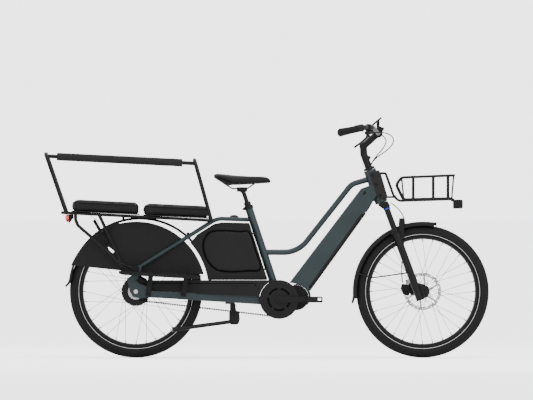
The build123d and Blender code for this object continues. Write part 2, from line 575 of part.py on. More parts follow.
def rear_parts(seat_cut, stays_cut):
    """Axle, caliper, guards, covers, boards, carrier and its cushions."""
    axle = cross(REAR_X, AXLE_Z, -84, 84, AXLE_R)
    for side in (-1, 1):
        axle += cross(REAR_X, AXLE_Z, *sorted((side * 75.5, side * 81)), 10)
        axle += cross(REAR_X, AXLE_Z, *sorted((side * 58, side * 67.5)), 9)
    save("rear_axle", axle)
    caliper = prism([(-604, 392), (-572, 376), (-562, 350), (-592, 338), (-616, 374)], 36, 56, 4)
    caliper -= cross(REAR_X, AXLE_Z, 43, 49, 74)
    caliper -= cross(REAR_X, AXLE_Z, 30, 60, 30)
    caliper += prism([(-604, 372), (-586, 366), (-590, 350), (-606, 356)], 56, 67.5, 2)
    save("rear_caliper", caliper)

    guards = []
    for side in (-1, 1):
        y0, y1 = sorted((side * GUARD_Y, side * (GUARD_Y + GUARD_T)))
        disc = cross(REAR_X, AXLE_Z, y0, y1, 332)
        disc &= box(-960, -280, -100, 100, 396, 700)
        rim_part = cross(REAR_X + 19, AXLE_Z + 11.5, y0, y1, 341) & box(-960, -700, -100, 100, 396, 640)
        rim_part -= cross(REAR_X, AXLE_Z, -90, 90, 300)
        lower = prism([(-960, 380), (-960, 442), (-842, 430), (-690, 414), (-690, 380)], y0 - 1, y1 + 1)
        notch = prism([(-757, 533), (-722, 505), (-730, 496), (-748, 510)], y0 - 1, y1 + 1, 3)
        guard = disc + rim_part - lower - notch
        guards.append(guard)
    save("dress_guards", *guards)

    covers = []
    for side in (-1, 1):
        y0, y1 = sorted((side * 41, side * 45))
        plate = prism([(-366, 541), (-327, 587), (-250, 635), (-212, 643), (-82, 640), (6, 369.4),
                       (-300, 369.4)], y0, y1, 6)
        plate -= cross(REAR_X, AXLE_Z, y0 - 1, y1 + 1, 346)
        pad0, pad1 = sorted((side * 45, side * 52))
        pad = prism([(-268, 594), (-92, 588), (-46, 428), (-232, 418), (-290, 500), (-288, 560)],
                    pad0, pad1, 18)
        for x0, x1, z0 in ((-100, -50, 586), (-40, 0, 416)):
            y0, y1 = sorted((side * GAP / 2, side * 42))
            plate += box(x0, x1, y0, y1, z0, z0 + 8) - seat_cut
        covers.append(plate + pad)
    save("side_covers", *covers)

    boards = []
    for side in (-1, 1):
        y0, y1 = sorted((side * BOARD_Y0, side * BOARD_Y1))
        deck = prism([(-700, 412), (-312, 390), (-312, 378), (-330, 374), (-680, 394), (-700, 400)], y0, y1)
        for x, z in ((-553, 398), (-385, 388)):
            yb = sorted((side * 84.5, side * 93))
            deck += prism([(x - 8, z - 8), (x + 14, z - 8), (x + 4, 291), (x - 20, 291)], *yb, 4)
        deck += cross(-562, 301, *sorted((side * 78.4, side * 86)), 5)
        deck += cross(-398, 299, *sorted((side * 67.4, side * 86)), 5)
        boards.append(deck)
    save("running_boards", *boards)

    rack = []
    for side in (-1, 1):
        y = side * RAIL_Y
        rack.append(rod((-975, y, rail_z(-975)), (-262, y, rail_z(-262)), RAIL_R))
        rack.append(pipe([(-907, y, 684), (-907, y, 656), (-896, y, 628), (-825, y, 567), (-690, y, 446),
                          (-640, y, 425)], [20, 30, 60, 40], 7))
        rack.append(pipe([(-797, y, 682), (-771, y, 627), (-694, y, 459)], [60], 7))
        rack.append(prism([(-700, 452), (-640, 434), (-606, 434), (-606, 396), (-640, 398), (-700, 440)],
                          *sorted((side * 76, side * 83.5)), 4))
    for x in (-780, -680, -520, -420):
        rack.append(rod((x, -RAIL_Y, rail_z(x)), (x, RAIL_Y, rail_z(x)), 5.5))
    for x in (-950, -262):
        rack.append(rod((x, -HOOP_Y - 9, rail_z(x)), (x, HOOP_Y + 9, rail_z(x)), 8))
    for side in (-1, 1):
        y = side * STAY_Y
        rack.append(rod((-285, y, rail_z(-285)), (-285, y, 645), 6))
        rack.append(rod((-285, y, rail_z(-285)), (-262, y, rail_z(-262)), 6))
        rack.append(rod((-285, y, rail_z(-285)), (-285, side * RAIL_Y, rail_z(-285)), 6))
    solid = rack[0]
    for piece in rack[1:]:
        solid = solid + piece
    save("cargo_rack", solid - stays_cut)


def rail_z(x):
    """Height of the carrier rails' centre line at x."""
    return 689.0 - (x + 971) * 36 / 683


def carrier_top():
    """Cushions, hoops with hand rails, foam pads, tail light and ring lock."""
    lift = RAIL_R + GAP
    for name, x0, x1 in (("rear_cushion", -929, -599), ("front_cushion", -590, -270)):
        low0, low1 = rail_z(x0) + lift, rail_z(x1) + lift
        pad = prism([(x0, low0), (x1, low1), (x1, low1 + CUSHION_T), (x0, low0 + CUSHION_T)],
                    -CUSHION_HALF, CUSHION_HALF, 14)
        save(name, fillet(pad.edges().filter_by(lambda e: abs(abs(e.center().Y) - CUSHION_HALF) < 0.1), 9))

    hoops = []
    for foot_x, top_x, top_z in ((-950, -1047, 968), (-262, -342, 939)):
        foot_z = rail_z(foot_x)
        hoop = pipe([(foot_x, -HOOP_Y, foot_z), (top_x, -HOOP_Y, top_z), (top_x, HOOP_Y, top_z),
                     (foot_x, HOOP_Y, foot_z)], HOOP_BEND, HOOP_R, HOOP_R - 2)
        hoop -= box(foot_x - 30, foot_x + 30, -HOOP_Y - 20, HOOP_Y + 20, foot_z - 20, foot_z)
        hoops.append(hoop - cross(foot_x, foot_z, -HOOP_Y - 20, HOOP_Y + 20, 8))
    bars, pads = [], []
    for side in (-1, 1):
        y = side * BAR_Y
        ends = (-1045, y, 957.5), (-337, y, 922.5)
        bar = rod(*ends, HOOP_R, HOOP_R - 2)
        for hoop_points in ((-950, -1047, 968), (-262, -342, 939)):
            foot_x, top_x, top_z = hoop_points
            bar -= pipe([(foot_x, -HOOP_Y, rail_z(foot_x)), (top_x, -HOOP_Y, top_z), (top_x, HOOP_Y, top_z),
                         (foot_x, HOOP_Y, rail_z(foot_x))], HOOP_BEND, HOOP_R)
        bars.append(bar.solids().sort_by(SortBy.VOLUME)[-1])
        slope = (922.5 - 957.5) / (1045 - 337)
        p, q = (-994, y, 957.5 + slope * 51), (-400, y, 957.5 + slope * 645)
        pads.append(rod(p, q, PAD_R, HOOP_R))
    save("passenger_rails", *hoops, *bars)
    save("rail_pads", *pads)

    lamp = prism([(-951, 679.5), (-917, 679.5), (-917, 664), (-936, 640), (-951, 648)], -36, 36, 4)
    save("tail_light", lamp)

    out, tang = radians(120.5), radians(30.5)
    def at(r, t, y=0.0):
        return (REAR_X + r * cos(out) + t * cos(tang), y, AXLE_Z + r * sin(out) + t * sin(tang))
    plane = Plane(origin=at(0, -7), x_dir=(0, 1, 0), z_dir=(cos(tang), 0, sin(tang)))
    flip = 1 if plane.to_local_coords(Vector(*at(10, -7))).Y > 0 else -1
    horseshoe = Pos(0, flip * 323.5) * RectangleRounded(100, 141, 30)
    horseshoe -= Pos(0, flip * 307) * RectangleRounded(78.8, 146, 26)
    horseshoe -= Pos(0, flip * 246) * Rectangle(110, 14)
    lock = extrude(plane * horseshoe, amount=14)
    for side in (-1, 1):
        y0, y1 = sorted((side * 46, side * 71.5))
        (xa, _, za), (xb, _, zb) = at(322, 0), at(322, 40)
        (xc, _, zc), (xd, _, zd) = at(338, 40), at(338, 0)
        lug = prism([(xa, za), (xb, zb), (xc, zc), (xd, zd)], y0, y1)
        lug -= rod((-771, side * RAIL_Y, 627), (-694, side * RAIL_Y, 459), 7)
        lock += lug
    save("ring_lock", lock)


def seat():
    """Clamp, post, rails with their clamp, and saddle."""
    top = hypot(SEAT_TOP_X - BB_X, SEAT_TOP_Z - BB_Z)
    def along(s, f=0.0, y=0.0):
        x, z = seat_point(s, f)
        return (x, y, z)
    clamp = rod(along(top - 2), along(top + 14), SEAT_TUBE_R + 3.5, SEAT_TUBE_R)
    clamp -= rod(along(top - 3), along(top), SEAT_TUBE_R)
    clamp += rod(along(top), along(top + 14), SEAT_TUBE_R + 3, SEAT_TUBE_BORE + FIT)
    clamp += rod(along(top + 14), along(top + 33), SEAT_TUBE_BORE + 3, SEAT_TUBE_BORE + FIT)
    x, z = seat_point(top + 6, -25)
    clamp += cross(x, z, -14, 14, 6)
    x, z = seat_point(top + 6, -20)
    clamp += box(x - 6, x + 6, -10, 10, z - 6, z + 6) - rod(along(top - 5), along(top + 20), SEAT_TUBE_R + 1)
    save("seat_clamp", clamp)
    post_r = SEAT_TUBE_BORE - FIT
    post = rod(along(top - 190), along(top + 20), post_r, post_r - 2.5)
    post += rod(along(top + 20), along(top + 84), 10.5)
    post += cross(-116, 797, -16.5, 16.5, 14)
    post -= cross(-116, 797, -30, 30, 4 + FIT)
    save("seatpost", post)
    rails = []
    cheeks = cross(-116, 797, -27, 27, 4)
    for side in (-1, 1):
        y = side * 22
        rails.append(pipe([(-196, y, 825), (-163, y, 803), (-92, y, 803), (-58, y, 826)], 14, 3.5))
        y0, y1 = sorted((side * 17, side * 27))
        cheeks += prism([(-140, 788), (-92, 788), (-90, 810), (-142, 810)], y0, y1, 5)
    metal = cheeks + rails[0] + rails[1]
    save("saddle_rails", metal)
    side_view = prism([(-250, 856), (-248, 874), (-232, 877), (-150, 872), (-60, 868), (0, 862), (18, 850),
                       (16, 834), (-40, 824), (-150, 822), (-190, 816), (-226, 842)], -100, 100, 3)
    half = [(-252, 56), (-236, 84), (-190, 90), (-140, 66), (-80, 34), (-20, 23), (10, 18), (22, 8)]
    plan = Polyline(*[(x, y, 0) for x, y in half], *[(x, -y, 0) for x, y in reversed(half)], close=True)
    block = Solid.extrude(Face(Wire(plan.edges())), Vector(0, 0, 1000))
    saddle = (side_view & block) - metal
    save("saddle", saddle)


def head_parts():
    """Head plate with its bolts, front carrier and headlight."""
    outline = [steer_xz(22, -8), steer_xz(24, 40), steer_xz(45, 44), steer_xz(157, 37), steer_xz(162, 12),
               steer_xz(152, -8)]
    inside = [steer_xz(10, -20), steer_xz(10, 38), steer_xz(44, 40), steer_xz(154, 33), steer_xz(175, 30),
              steer_xz(175, -20)]
    plate = prism(outline, -36, 36, 3) - prism(inside, -32, 32)
    bolts = []
    for a in (38.9, 83.5, 138.9):
        x, _, z = steer(a, 5)
        for side in (-1, 1):
            bolts.append(cross(x, z, *sorted((side * 36, side * 40)), 6.5))
    save("head_bracket", plate, *bolts)

    tubes = []
    for side in (-1, 1):
        y = side * 26
        tubes.append(pipe([(540, y, 876), (566, y, 876), (602, y, 774), (626, y, 745), (878, y, 753)],
                          [10, 30, 30], 6))
        tubes.append(rod((560, y, 763), (606, y, 763), 5))
        y = side * BASKET_Y
        tubes.append(pipe([(878, y, 757), (650, y, 752), (616, y, 822), (642, y, 856), (889, y, 866)],
                          [16, 24, 24], 6))
        for x in (697, 792, 862):
            tubes.append(rod((x, y, 754), (x, y, 857 + (x - 642) * 10 / 247), 5))
    for x, z in ((878, 757), (792, 755), (697, 753), (652, 752), (889, 866), (642, 855)):
        tubes.append(rod((x, -BASKET_Y - 3, z), (x, BASKET_Y + 3, z), 5.5))
    for y in (-100, -60, 60, 100):
        tubes.append(rod((652, y, 753), (878, y, 758), 3))
        tubes.append(rod((889, y, 866), (880, y, 757), 2.5))
    tubes.append(rod((642, 0, 855), (652, 0, 752), 4))
    rack = tubes[0]
    for piece in tubes[1:]:
        rack = rack + piece
    rack -= prism(outline, -36, 36, 3)
    rack = rack.solids().sort_by(SortBy.VOLUME)[-1]
    save("front_rack", rack)
    lamp = box(886, 931, -26, 26, 708, 751)
    lamp = fillet(lamp.edges().filter_by(Axis.Y), 5)
    lamp += box(876, 892, -10, 10, 742, 756.5)
    save("headlight", lamp - rack)


def stand():
    """Two-legged stand, folded back, and its mount under the chain stays."""
    px, pz = STAND_X, STAND_Z
    mount = box(px - 36, px + 8, -48, 48, 255, 266)
    mount += prism([(px - 14, 257), (px + 14, 257), (px + 14, pz - 12), (px - 14, pz - 12)], -14, 14, 4)
    mount += box(px - 36, px + 10, -30, 30, 257, 270)
    mount -= prism([(-600, 319.5), (-36, 292), (-12, 252), (-600, 289.5)], -80, -29)
    mount -= prism([(-600, 319.5), (-36, 292), (-12, 252), (-600, 289.5)], 29, 80)
    mount += cross(px, pz, -27, 27, 6)
    save("stand_bracket", mount)
    legs = prism([(px - 18, pz - 18), (px + 30, pz - 18), (px + 34, pz - 60), (px + 26, pz - 82),
                  (px - 8, pz - 83), (px - 18, pz - 74)], -27, 27, 7)
    for side in (-1, 1):
        y0, y1 = sorted((side * 14.5, side * 27))
        legs += cross(px, pz, y0, y1, 13)
        legs += prism([(px - 13, pz), (px + 13, pz), (px + 20, pz - 30), (px - 14, pz - 30)], y0, y1)
        legs += rod((px - 10, side * 26, pz - 69), (-445, side * 100, 134), 9)
        legs += rod((-447, side * 100.5, 133.8), (-420, side * 93, 137.3), 11)
    legs -= cross(px, pz, -40, 40, 6 + FIT)
    save("stand_legs", legs)


def cord(points, r):
    """A hose: straight runs joined by the largest tangent arcs that they allow."""
    pts = [Vector(*p) for p in points]
    radii = []
    for a, b, c in zip(pts, pts[1:], pts[2:]):
        turn = radians((b - a).get_angle(c - b))
        radii.append(0.45 * min((b - a).length, (c - b).length) / tan(turn / 2))
    print("hose radii", [round(v) for v in radii])
    return pipe(points, radii, r)


def cockpit(slider):
    """Stem, handlebar, grips, controls, display and hoses."""
    stem = rod(steer(9.4, 0), steer(-3, 0), 27)
    stem += rod(steer(-3, 0), steer(-74, 0), 17.5)
    knee = (460, 0, 1003)
    stem += rod(steer(-70, 0), knee, 17.5)
    stem += cross(knee[0], knee[2], -21, 21, 19)
    stem += rod(knee, (530, 0, 1066), 16)
    stem += cross(530, 1066, -24, 24, 22)
    stem += rod(steer(-50, 14), steer(-42, 23), 8)
    stem -= rod(steer(20, 0), steer(-46, 0), STEERER_R)
    stem -= cross(530, 1066, -30, 30, 15.9)
    save("stem", stem)

    half = [(530, -50, 1066), (502, -172, 1094), (460, -236, 1093), (352, -330, 1070)]
    other = [(x, -y, z) for x, y, z in half]
    bar = pipe(list(reversed(half)) + other, [60, 60, 45, 45, 60, 60], 11.1, 8.6)
    bar += cross(530, 1066, -34, 34, 15.9)
    save("handlebar", bar)

    p, q = Vector(*half[2]), Vector(*half[3])
    g = (q - p).normalized()
    def grip(start, side):
        end = (q - p).length + 6
        n = 7
        outline = [(start, 11.1), (start, 17)]
        for i in range(1, n):
            t = start + (end - start) * i / n
            outline.append((t, 15.4 + 3.6 * (i / n) ** 3))
        outline += [(end - 2, 19), (end, 16), (end, 0), (end - 6, 0), (end - 6, 11.1)]
        face = Face(Wire(Polyline(*[(b, a) for a, b in outline], close=True).edges()))
        solid = Rot(90, 0, 0) * revolve(face, Axis.Y, 360)
        plane = Plane(origin=p, z_dir=g)
        placed = plane * solid
        return placed if side < 0 else mirrored(placed)
    save("grips", grip(49, -1), grip(9, 1))
    save("twist_shifter", rod(p + g * 9, p + g * 48, 17.5, 11.1 + FIT))

    b = (p - Vector(*half[1])).normalized()
    c = Vector(*half[1]) + b * 34
    controls = rod(c - b * 9, c + b * 9, 16, 11.1)
    body = rod(Vector(500, -168, 1072), Vector(476, -206, 1068), 10)
    body += rod(c - Vector(0, 0, 15), Vector(484, -194, 1072), 8)
    pivot = Vector(482, -203, 1052)
    k = Vector(-0.774, 0.633, 0)
    body += rod(Vector(482, -203, 1068), Vector(482, -203, 1058.5), 7)
    controls = controls + body - bar.fuse(rod(c - b * 25, c + b * 25, 11.1))
    save("bar_controls", controls, mirrored(controls), bell())
    lever = rod(pivot - k * 7, pivot + k * 7, 6)
    lever += pipe([tuple(pivot), (452, -236, 1024), (420, -268, 1001)], 60, 5)
    save("brake_lever_right", lever)
    save("brake_lever_left", mirrored(lever))

    screen = prism([(495, 1104), (543, 1144), (549, 1137), (501, 1097)], -38, 38, 2)
    screen += prism([(523, 1086), (537, 1086), (537, 1129), (523, 1118)], -12, 12)
    save("display", screen - cross(530, 1066, -40, 40, 22))

    right = [(499, -168, 1068), (540, -152, 1070), (580, -122, 1064), (606, -84, 1040), (596, -48, 1006),
             (560, -26, 976), (528, -18, 955), (500, -15, 928), (494, -14, 916)]
    left = [(499, 168, 1068), (530, 146, 1066), (560, 112, 1052), (572, 74, 1026), (556, 42, 996),
            (530, 26, 966), (508, 18, 940), (497, 14, 916)]
    hoses = [cord(right, 2.5) - stem - controls, cord(left, 2.5) - stem - mirrored(controls)]
    save("brake_hoses", *[h.solids().sort_by(SortBy.VOLUME)[-1] for h in hoses])
    fork_route = [steer(190, 41, 50), steer(214, 58, 50), (640, 49, 692), (656, 47, 660), (657, 43, 620),
                  (657, 40, 582), (652, 39.6, 540), (648, 39.6, 495), (644, 39.6, 448), (641, 40, 398),
                  (647, 41, 356)]
    save("fork_hose", (cord(fork_route, 2.4) - slider).solids().sort_by(SortBy.VOLUME)[-1])


def bell():
    """A small bell beside the stem."""
    return rod((540, -44, 1080), (546, -44, 1096), 15) - cross(530, 1066, -60, 0, 15.9 + GAP)


if __name__ == "__main__":
    os.makedirs("parts", exist_ok=True)
    wheels()
    motor_solid = drive()
    tube_cut, stay_cut = frame(motor_solid)
    front_caliper, lowers = fork()
    mudguards()
    rear_parts(tube_cut, stay_cut)
    carrier_top()
    seat()
    head_parts()
    stand()
    cockpit(front_caliper + lowers)
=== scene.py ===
# %% [markdown]
# # A cargo bicycle, dressed in Blender
# The metal parts come from the CAD model and never move. This lesson gives them finishes, and adds
# what CAD is poor at: tread, padding, hoses, seams, lenses and small fittings. One unit is one
# metre, +X is the front wheel, +Z is up and the drive side is -Y.

import json
import math

import bpy
import numpy as np
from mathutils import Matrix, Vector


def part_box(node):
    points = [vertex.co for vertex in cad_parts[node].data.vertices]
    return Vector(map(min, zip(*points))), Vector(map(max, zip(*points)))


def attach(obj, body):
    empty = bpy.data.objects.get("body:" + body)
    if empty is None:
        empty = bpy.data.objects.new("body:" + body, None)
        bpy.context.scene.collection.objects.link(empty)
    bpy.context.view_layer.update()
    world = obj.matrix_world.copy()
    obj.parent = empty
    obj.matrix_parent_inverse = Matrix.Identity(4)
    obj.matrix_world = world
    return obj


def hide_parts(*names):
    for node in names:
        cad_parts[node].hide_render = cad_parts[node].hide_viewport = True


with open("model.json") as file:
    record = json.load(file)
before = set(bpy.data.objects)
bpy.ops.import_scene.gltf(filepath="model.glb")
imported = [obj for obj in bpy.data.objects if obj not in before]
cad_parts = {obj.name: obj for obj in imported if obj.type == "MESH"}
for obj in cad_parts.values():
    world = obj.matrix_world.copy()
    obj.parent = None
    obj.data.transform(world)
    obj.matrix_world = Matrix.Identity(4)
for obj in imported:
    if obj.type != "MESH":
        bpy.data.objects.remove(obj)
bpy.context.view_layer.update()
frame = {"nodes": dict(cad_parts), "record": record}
NODES = frame["nodes"]
SLOT_OF = {part["node"]: part["material_slot"] for part in frame["record"]["subparts"]}

# %% [markdown]
# ## The camera and the studio
# A product picture of a long bicycle is taken from far away with a long lens, so that both wheels
# stay round. The camera stands square to the drive side at the height of the top tube. The light
# is one big soft source above, a smaller one in front, and a bright sky that fills the black parts.

# %% Camera, floor and lights
CAMERA_AWAY = 60.0
FIELD_WIDTH = 2.532
SENSOR = 36.0
EYE_HEIGHT = 0.749

camera_data = bpy.data.cameras.new("camera")
camera_data.sensor_width = SENSOR
camera_data.lens = SENSOR * CAMERA_AWAY / FIELD_WIDTH
camera_data.clip_end = 1000.0
camera = bpy.data.objects.new("camera", camera_data)
camera.location = (0.0, -CAMERA_AWAY, EYE_HEIGHT)
camera.rotation_euler = (math.pi / 2, 0.0, 0.0)
bpy.context.scene.collection.objects.link(camera)
bpy.context.scene.camera = camera


def area_light(name, place, aim, size, power):
    """A soft square light at place that looks at aim; power is in watts."""
    data = bpy.data.lights.new(name, "AREA")
    data.size = size
    data.energy = power
    light = bpy.data.objects.new(name, data)
    light.location = place
    away = np.subtract(place, aim)
    flat = math.hypot(away[0], away[1])
    light.rotation_euler = (math.atan2(flat, away[2]), 0.0, math.atan2(away[0], -away[1]))
    bpy.context.scene.collection.objects.link(light)
    return light


area_light("top_light", (0.3, -1.4, 4.2), (0.0, 0.0, 0.6), 3.6, 170.0)
area_light("front_light", (2.6, -4.6, 2.2), (0.1, 0.0, 0.6), 2.2, 60.0)
area_light("back_light", (-3.0, 3.6, 2.6), (0.0, 0.0, 0.6), 2.4, 70.0)

world = bpy.data.worlds.new("studio")
bpy.context.scene.world = world
world.use_nodes = True
world.node_tree.nodes["Background"].inputs["Color"].default_value = (1.0, 1.0, 1.0, 1.0)
SKY_LIGHT, SKY_SEEN = 3.0, 3.4


def seen_by_camera(nodes, links, lit, seen):
    """A strength that is seen for what the camera sees directly and lit for everything else."""
    path = nodes.new("ShaderNodeLightPath")
    choose = nodes.new("ShaderNodeMapRange")
    choose.inputs["To Min"].default_value = lit
    choose.inputs["To Max"].default_value = seen
    links.new(path.outputs["Is Camera Ray"], choose.inputs["Value"])
    return choose.outputs["Result"]


world.node_tree.links.new(seen_by_camera(world.node_tree.nodes, world.node_tree.links, SKY_LIGHT, SKY_SEEN),
                          world.node_tree.nodes["Background"].inputs["Strength"])

# %% [markdown]
# ## How a finish is made
# Every finish starts from one shader, Principled BSDF. A second, slow noise changes the colour a
# little from place to place, as paint and rubber do, and a fine grain tilts the light with a Bump
# node. The noise reads Object coordinates, so it is fixed to the metal in metres. Numbers that are
# the same all over go straight on the shader's sockets.


# %% A recipe for finishes
def node_tree(name):
    """A new material with an empty Principled shader; returns (material, nodes, links, shader)."""
    material = bpy.data.materials.new(name)
    material.use_nodes = True
    nodes, links = material.node_tree.nodes, material.node_tree.links
    return material, nodes, links, nodes["Principled BSDF"]


def place_node(nodes, links, stretch=(1.0, 1.0, 1.0)):
    """Object coordinates, stretched along the axes; returns the socket to read."""
    where = nodes.new("ShaderNodeTexCoord")
    mapping = nodes.new("ShaderNodeMapping")
    mapping.inputs["Scale"].default_value = stretch
    links.new(where.outputs["Object"], mapping.inputs["Vector"])
    return mapping.outputs["Vector"]


def noise_node(nodes, links, place, scale, detail=2.0):
    """Smooth noise of scale bumps a metre."""
    noise = nodes.new("ShaderNodeTexNoise")
    noise.inputs["Scale"].default_value = scale
    noise.inputs["Detail"].default_value = detail
    links.new(place, noise.inputs["Vector"])
    return noise.outputs["Fac"]


def ramp_node(nodes, links, fac, stops):
    """Colours at places from 0 to 1."""
    ramp = nodes.new("ShaderNodeValToRGB")
    while len(ramp.color_ramp.elements) < len(stops):
        ramp.color_ramp.elements.new(0.5)
    for element, (at, colour) in zip(ramp.color_ramp.elements, stops):
        element.position = at
        element.color = (*colour, 1.0)
    links.new(fac, ramp.inputs["Fac"])
    return ramp.outputs["Color"]


def spread_node(nodes, links, fac, low, high):
    """Takes 0.3..0.7 of a noise to low..high."""
    spread = nodes.new("ShaderNodeMapRange")
    spread.inputs["From Min"].default_value = 0.3
    spread.inputs["From Max"].default_value = 0.7
    spread.inputs["To Min"].default_value = low
    spread.inputs["To Max"].default_value = high
    links.new(fac, spread.inputs["Value"])
    return spread.outputs["Result"]


def bump_node(nodes, links, height, depth, under=None):
    """Tilts the surface as if height, from 0 to 1, were depth metres."""
    bump = nodes.new("ShaderNodeBump")
    bump.inputs["Distance"].default_value = depth
    bump.inputs["Strength"].default_value = 1.0
    links.new(height, bump.inputs["Height"])
    if under is not None:
        links.new(under, bump.inputs["Normal"])
    return bump.outputs["Normal"]


def finish(name, dark, light, rough, metallic=0.0, grain=900.0, depth=0.00005, slow=7.0,
           stretch=(1.0, 1.0, 1.0), cells=False, coat=0.0, sheen=0.0, specular=0.5):
    """A finish between two colours, with a grain of that many bumps a metre, depth metres deep."""
    material, nodes, links, shader = node_tree(name)
    place = place_node(nodes, links, stretch)
    wide = noise_node(nodes, links, place, slow, 3.0)
    fine = noise_node(nodes, links, place, grain, 2.0)
    links.new(ramp_node(nodes, links, wide, [(0.3, dark), (0.7, light)]), shader.inputs["Base Color"])
    links.new(spread_node(nodes, links, wide, rough[0], rough[1]), shader.inputs["Roughness"])
    height = fine
    if cells:
        leather = nodes.new("ShaderNodeTexVoronoi")
        leather.feature = "F1"
        leather.inputs["Scale"].default_value = grain
        links.new(place, leather.inputs["Vector"])
        height = leather.outputs["Distance"]
    links.new(bump_node(nodes, links, height, depth), shader.inputs["Normal"])
    shader.inputs["Metallic"].default_value = metallic
    shader.inputs["Specular IOR Level"].default_value = specular
    shader.inputs["Coat Weight"].default_value = coat
    shader.inputs["Coat Roughness"].default_value = 0.2
    shader.inputs["Sheen Weight"].default_value = sheen
    return material


# %% The finishes of this bicycle
FINISH = {
    "frame_paint": finish("frame_paint", (0.0068, 0.0118, 0.0132), (0.0096, 0.0160, 0.0178), (0.30, 0.42),
                          metallic=0.15, grain=1400.0, depth=0.00002, coat=0.08, specular=0.14),
    "tyre_rubber": finish("tyre_rubber", (0.0022, 0.0022, 0.0022), (0.0045, 0.0045, 0.0045), (0.66, 0.82),
                          grain=1100.0, depth=0.00012, specular=0.10),
    "black_alloy": finish("black_alloy", (0.0010, 0.0010, 0.0011), (0.0020, 0.0020, 0.0021), (0.28, 0.40),
                          metallic=0.1, grain=2200.0, depth=0.00001, coat=0.04, specular=0.10),
    "steel": finish("steel", (0.20, 0.20, 0.21), (0.32, 0.32, 0.32), (0.26, 0.40),
                    metallic=1.0, grain=900.0, depth=0.00002, stretch=(1.0, 1.0, 0.1)),
    "spoke_steel": finish("spoke_steel", (0.0010, 0.0010, 0.0010), (0.0030, 0.0030, 0.0030), (0.40, 0.50),
                          metallic=0.1, grain=700.0, depth=0.00001, specular=0.05),
    "black_plastic": finish("black_plastic", (0.0028, 0.0028, 0.0029), (0.0046, 0.0046, 0.0047), (0.50, 0.64),
                            grain=1500.0, depth=0.00006, cells=True, specular=0.09),
    "black_steel": finish("black_steel", (0.0010, 0.0010, 0.0010), (0.0019, 0.0019, 0.0019), (0.32, 0.46),
                          metallic=0.05, grain=1300.0, depth=0.00003, coat=0.03, specular=0.09),
    "grey_plate": finish("grey_plate", (0.0050, 0.0049, 0.0049), (0.0072, 0.0070, 0.0069), (0.34, 0.46),
                         metallic=0.2, grain=1200.0, depth=0.00002, specular=0.12),
    "rubber": finish("rubber", (0.0022, 0.0022, 0.0022), (0.0042, 0.0042, 0.0042), (0.66, 0.82),
                     grain=1300.0, depth=0.00008, specular=0.09),
    "seat_cover": finish("seat_cover", (0.0024, 0.0024, 0.0026), (0.0042, 0.0042, 0.0045), (0.48, 0.64),
                         grain=900.0, depth=0.00018, cells=True, sheen=0.015, specular=0.09),
}
# Near-black: painted shade in the grooves round the cover pads and on the belt cover, and the dark seam lines
# of the battery's cover.
FINISH["seam_and_groove_shade"] = finish("seam_and_groove_shade", (0.0004, 0.0004, 0.0004), (0.0009, 0.0009, 0.0009), (0.70, 0.85),
                        grain=1200.0, depth=0.00003, specular=0.03)


def paint(piece, material):
    """Puts one material in every slot of a piece."""
    if not piece.data.materials:
        piece.data.materials.append(material)
    for number in range(len(piece.material_slots)):
        piece.material_slots[number].material = material
    return piece


for node, piece in NODES.items():
    paint(piece, FINISH[SLOT_OF[node]])
print("finishes:", ", ".join(sorted(FINISH)))

# %% [markdown]
# ## Surfaces from numbers
# A new piece is a grid of points: one parameter runs along it and the other round it. A small set
# of helpers turns such a grid into a mesh, and turns profiles and carries sections along paths.


# %% Grid to mesh
def grid_faces(rows, columns, wrap_rows, wrap_columns):
    """Quads (i,j) (i,j+1) (i+1,j+1) (i+1,j) of a grid numbered row by row."""
    i, j = np.meshgrid(np.arange(rows if wrap_rows else rows - 1),
                       np.arange(columns if wrap_columns else columns - 1), indexing="ij")
    i, j = i.ravel(), j.ravel()
    i1, j1 = (i + 1) % rows, (j + 1) % columns
    return np.stack([i * columns + j, i * columns + j1, i1 * columns + j1, i1 * columns + j], 1)


def put_mesh(name, points, faces, material, smooth=True):
    """A mesh object from points (n, 3) and faces, all of one length."""
    points = np.asarray(points, np.float32).reshape(-1, 3)
    faces = np.asarray(faces, np.int32)
    sides = faces.shape[1]
    mesh = bpy.data.meshes.new(name)
    mesh.vertices.add(len(points))
    mesh.vertices.foreach_set("co", points.ravel())
    mesh.loops.add(faces.size)
    mesh.loops.foreach_set("vertex_index", faces.ravel())
    mesh.polygons.add(len(faces))
    mesh.polygons.foreach_set("loop_start", np.arange(len(faces), dtype=np.int32) * sides)
    mesh.polygons.foreach_set("use_smooth", np.full(len(faces), smooth))
    mesh.update(calc_edges=True)
    mesh.validate()
    piece = bpy.data.objects.new(name, mesh)
    bpy.context.scene.collection.objects.link(piece)
    mesh.materials.append(material)
    return piece


def ring_outward(grid, faces):
    """Reverses the faces of a closed ring of sections if they point at their section's middle."""
    rows, columns = grid.shape[:2]
    points = grid.reshape(-1, 3)
    corner = points[faces]
    middle = np.repeat(grid.mean(1), columns, 0)[faces[:, 0]]
    area = np.cross(corner[:, 2] - corner[:, 0], corner[:, 3] - corner[:, 1])
    return faces if ((corner.mean(1) - middle) * area).sum() > 0 else faces[:, ::-1]


def shell(grid, wrap_rows=False):
    """Points and outward quads of a tube of rings; open ends are closed by rings of one point."""
    rows, columns = grid.shape[:2]
    if not wrap_rows:
        ends = [np.repeat(g.mean(0)[None, None], columns, 1) for g in (grid[0], grid[-1])]
        grid = np.concatenate([ends[0], grid, ends[1]])
        rows += 2
    faces = grid_faces(rows, columns, wrap_rows, True)
    return grid.reshape(-1, 3), ring_outward(grid, faces)


def join(parts):
    """Several (points, faces) as one."""
    start = np.cumsum([0] + [len(points) for points, _ in parts[:-1]])
    return (np.concatenate([points for points, _ in parts]),
            np.concatenate([faces + s for (_, faces), s in zip(parts, start)]))


def weld(piece, distance=0.00002):
    """Merges the doubled points where a shell's rows close."""
    import bmesh
    work = bmesh.new()
    work.from_mesh(piece.data)
    bmesh.ops.remove_doubles(work, verts=work.verts, dist=distance)
    bmesh.ops.dissolve_degenerate(work, edges=work.edges, dist=distance / 4)
    work.to_mesh(piece.data)
    work.free()
    return piece


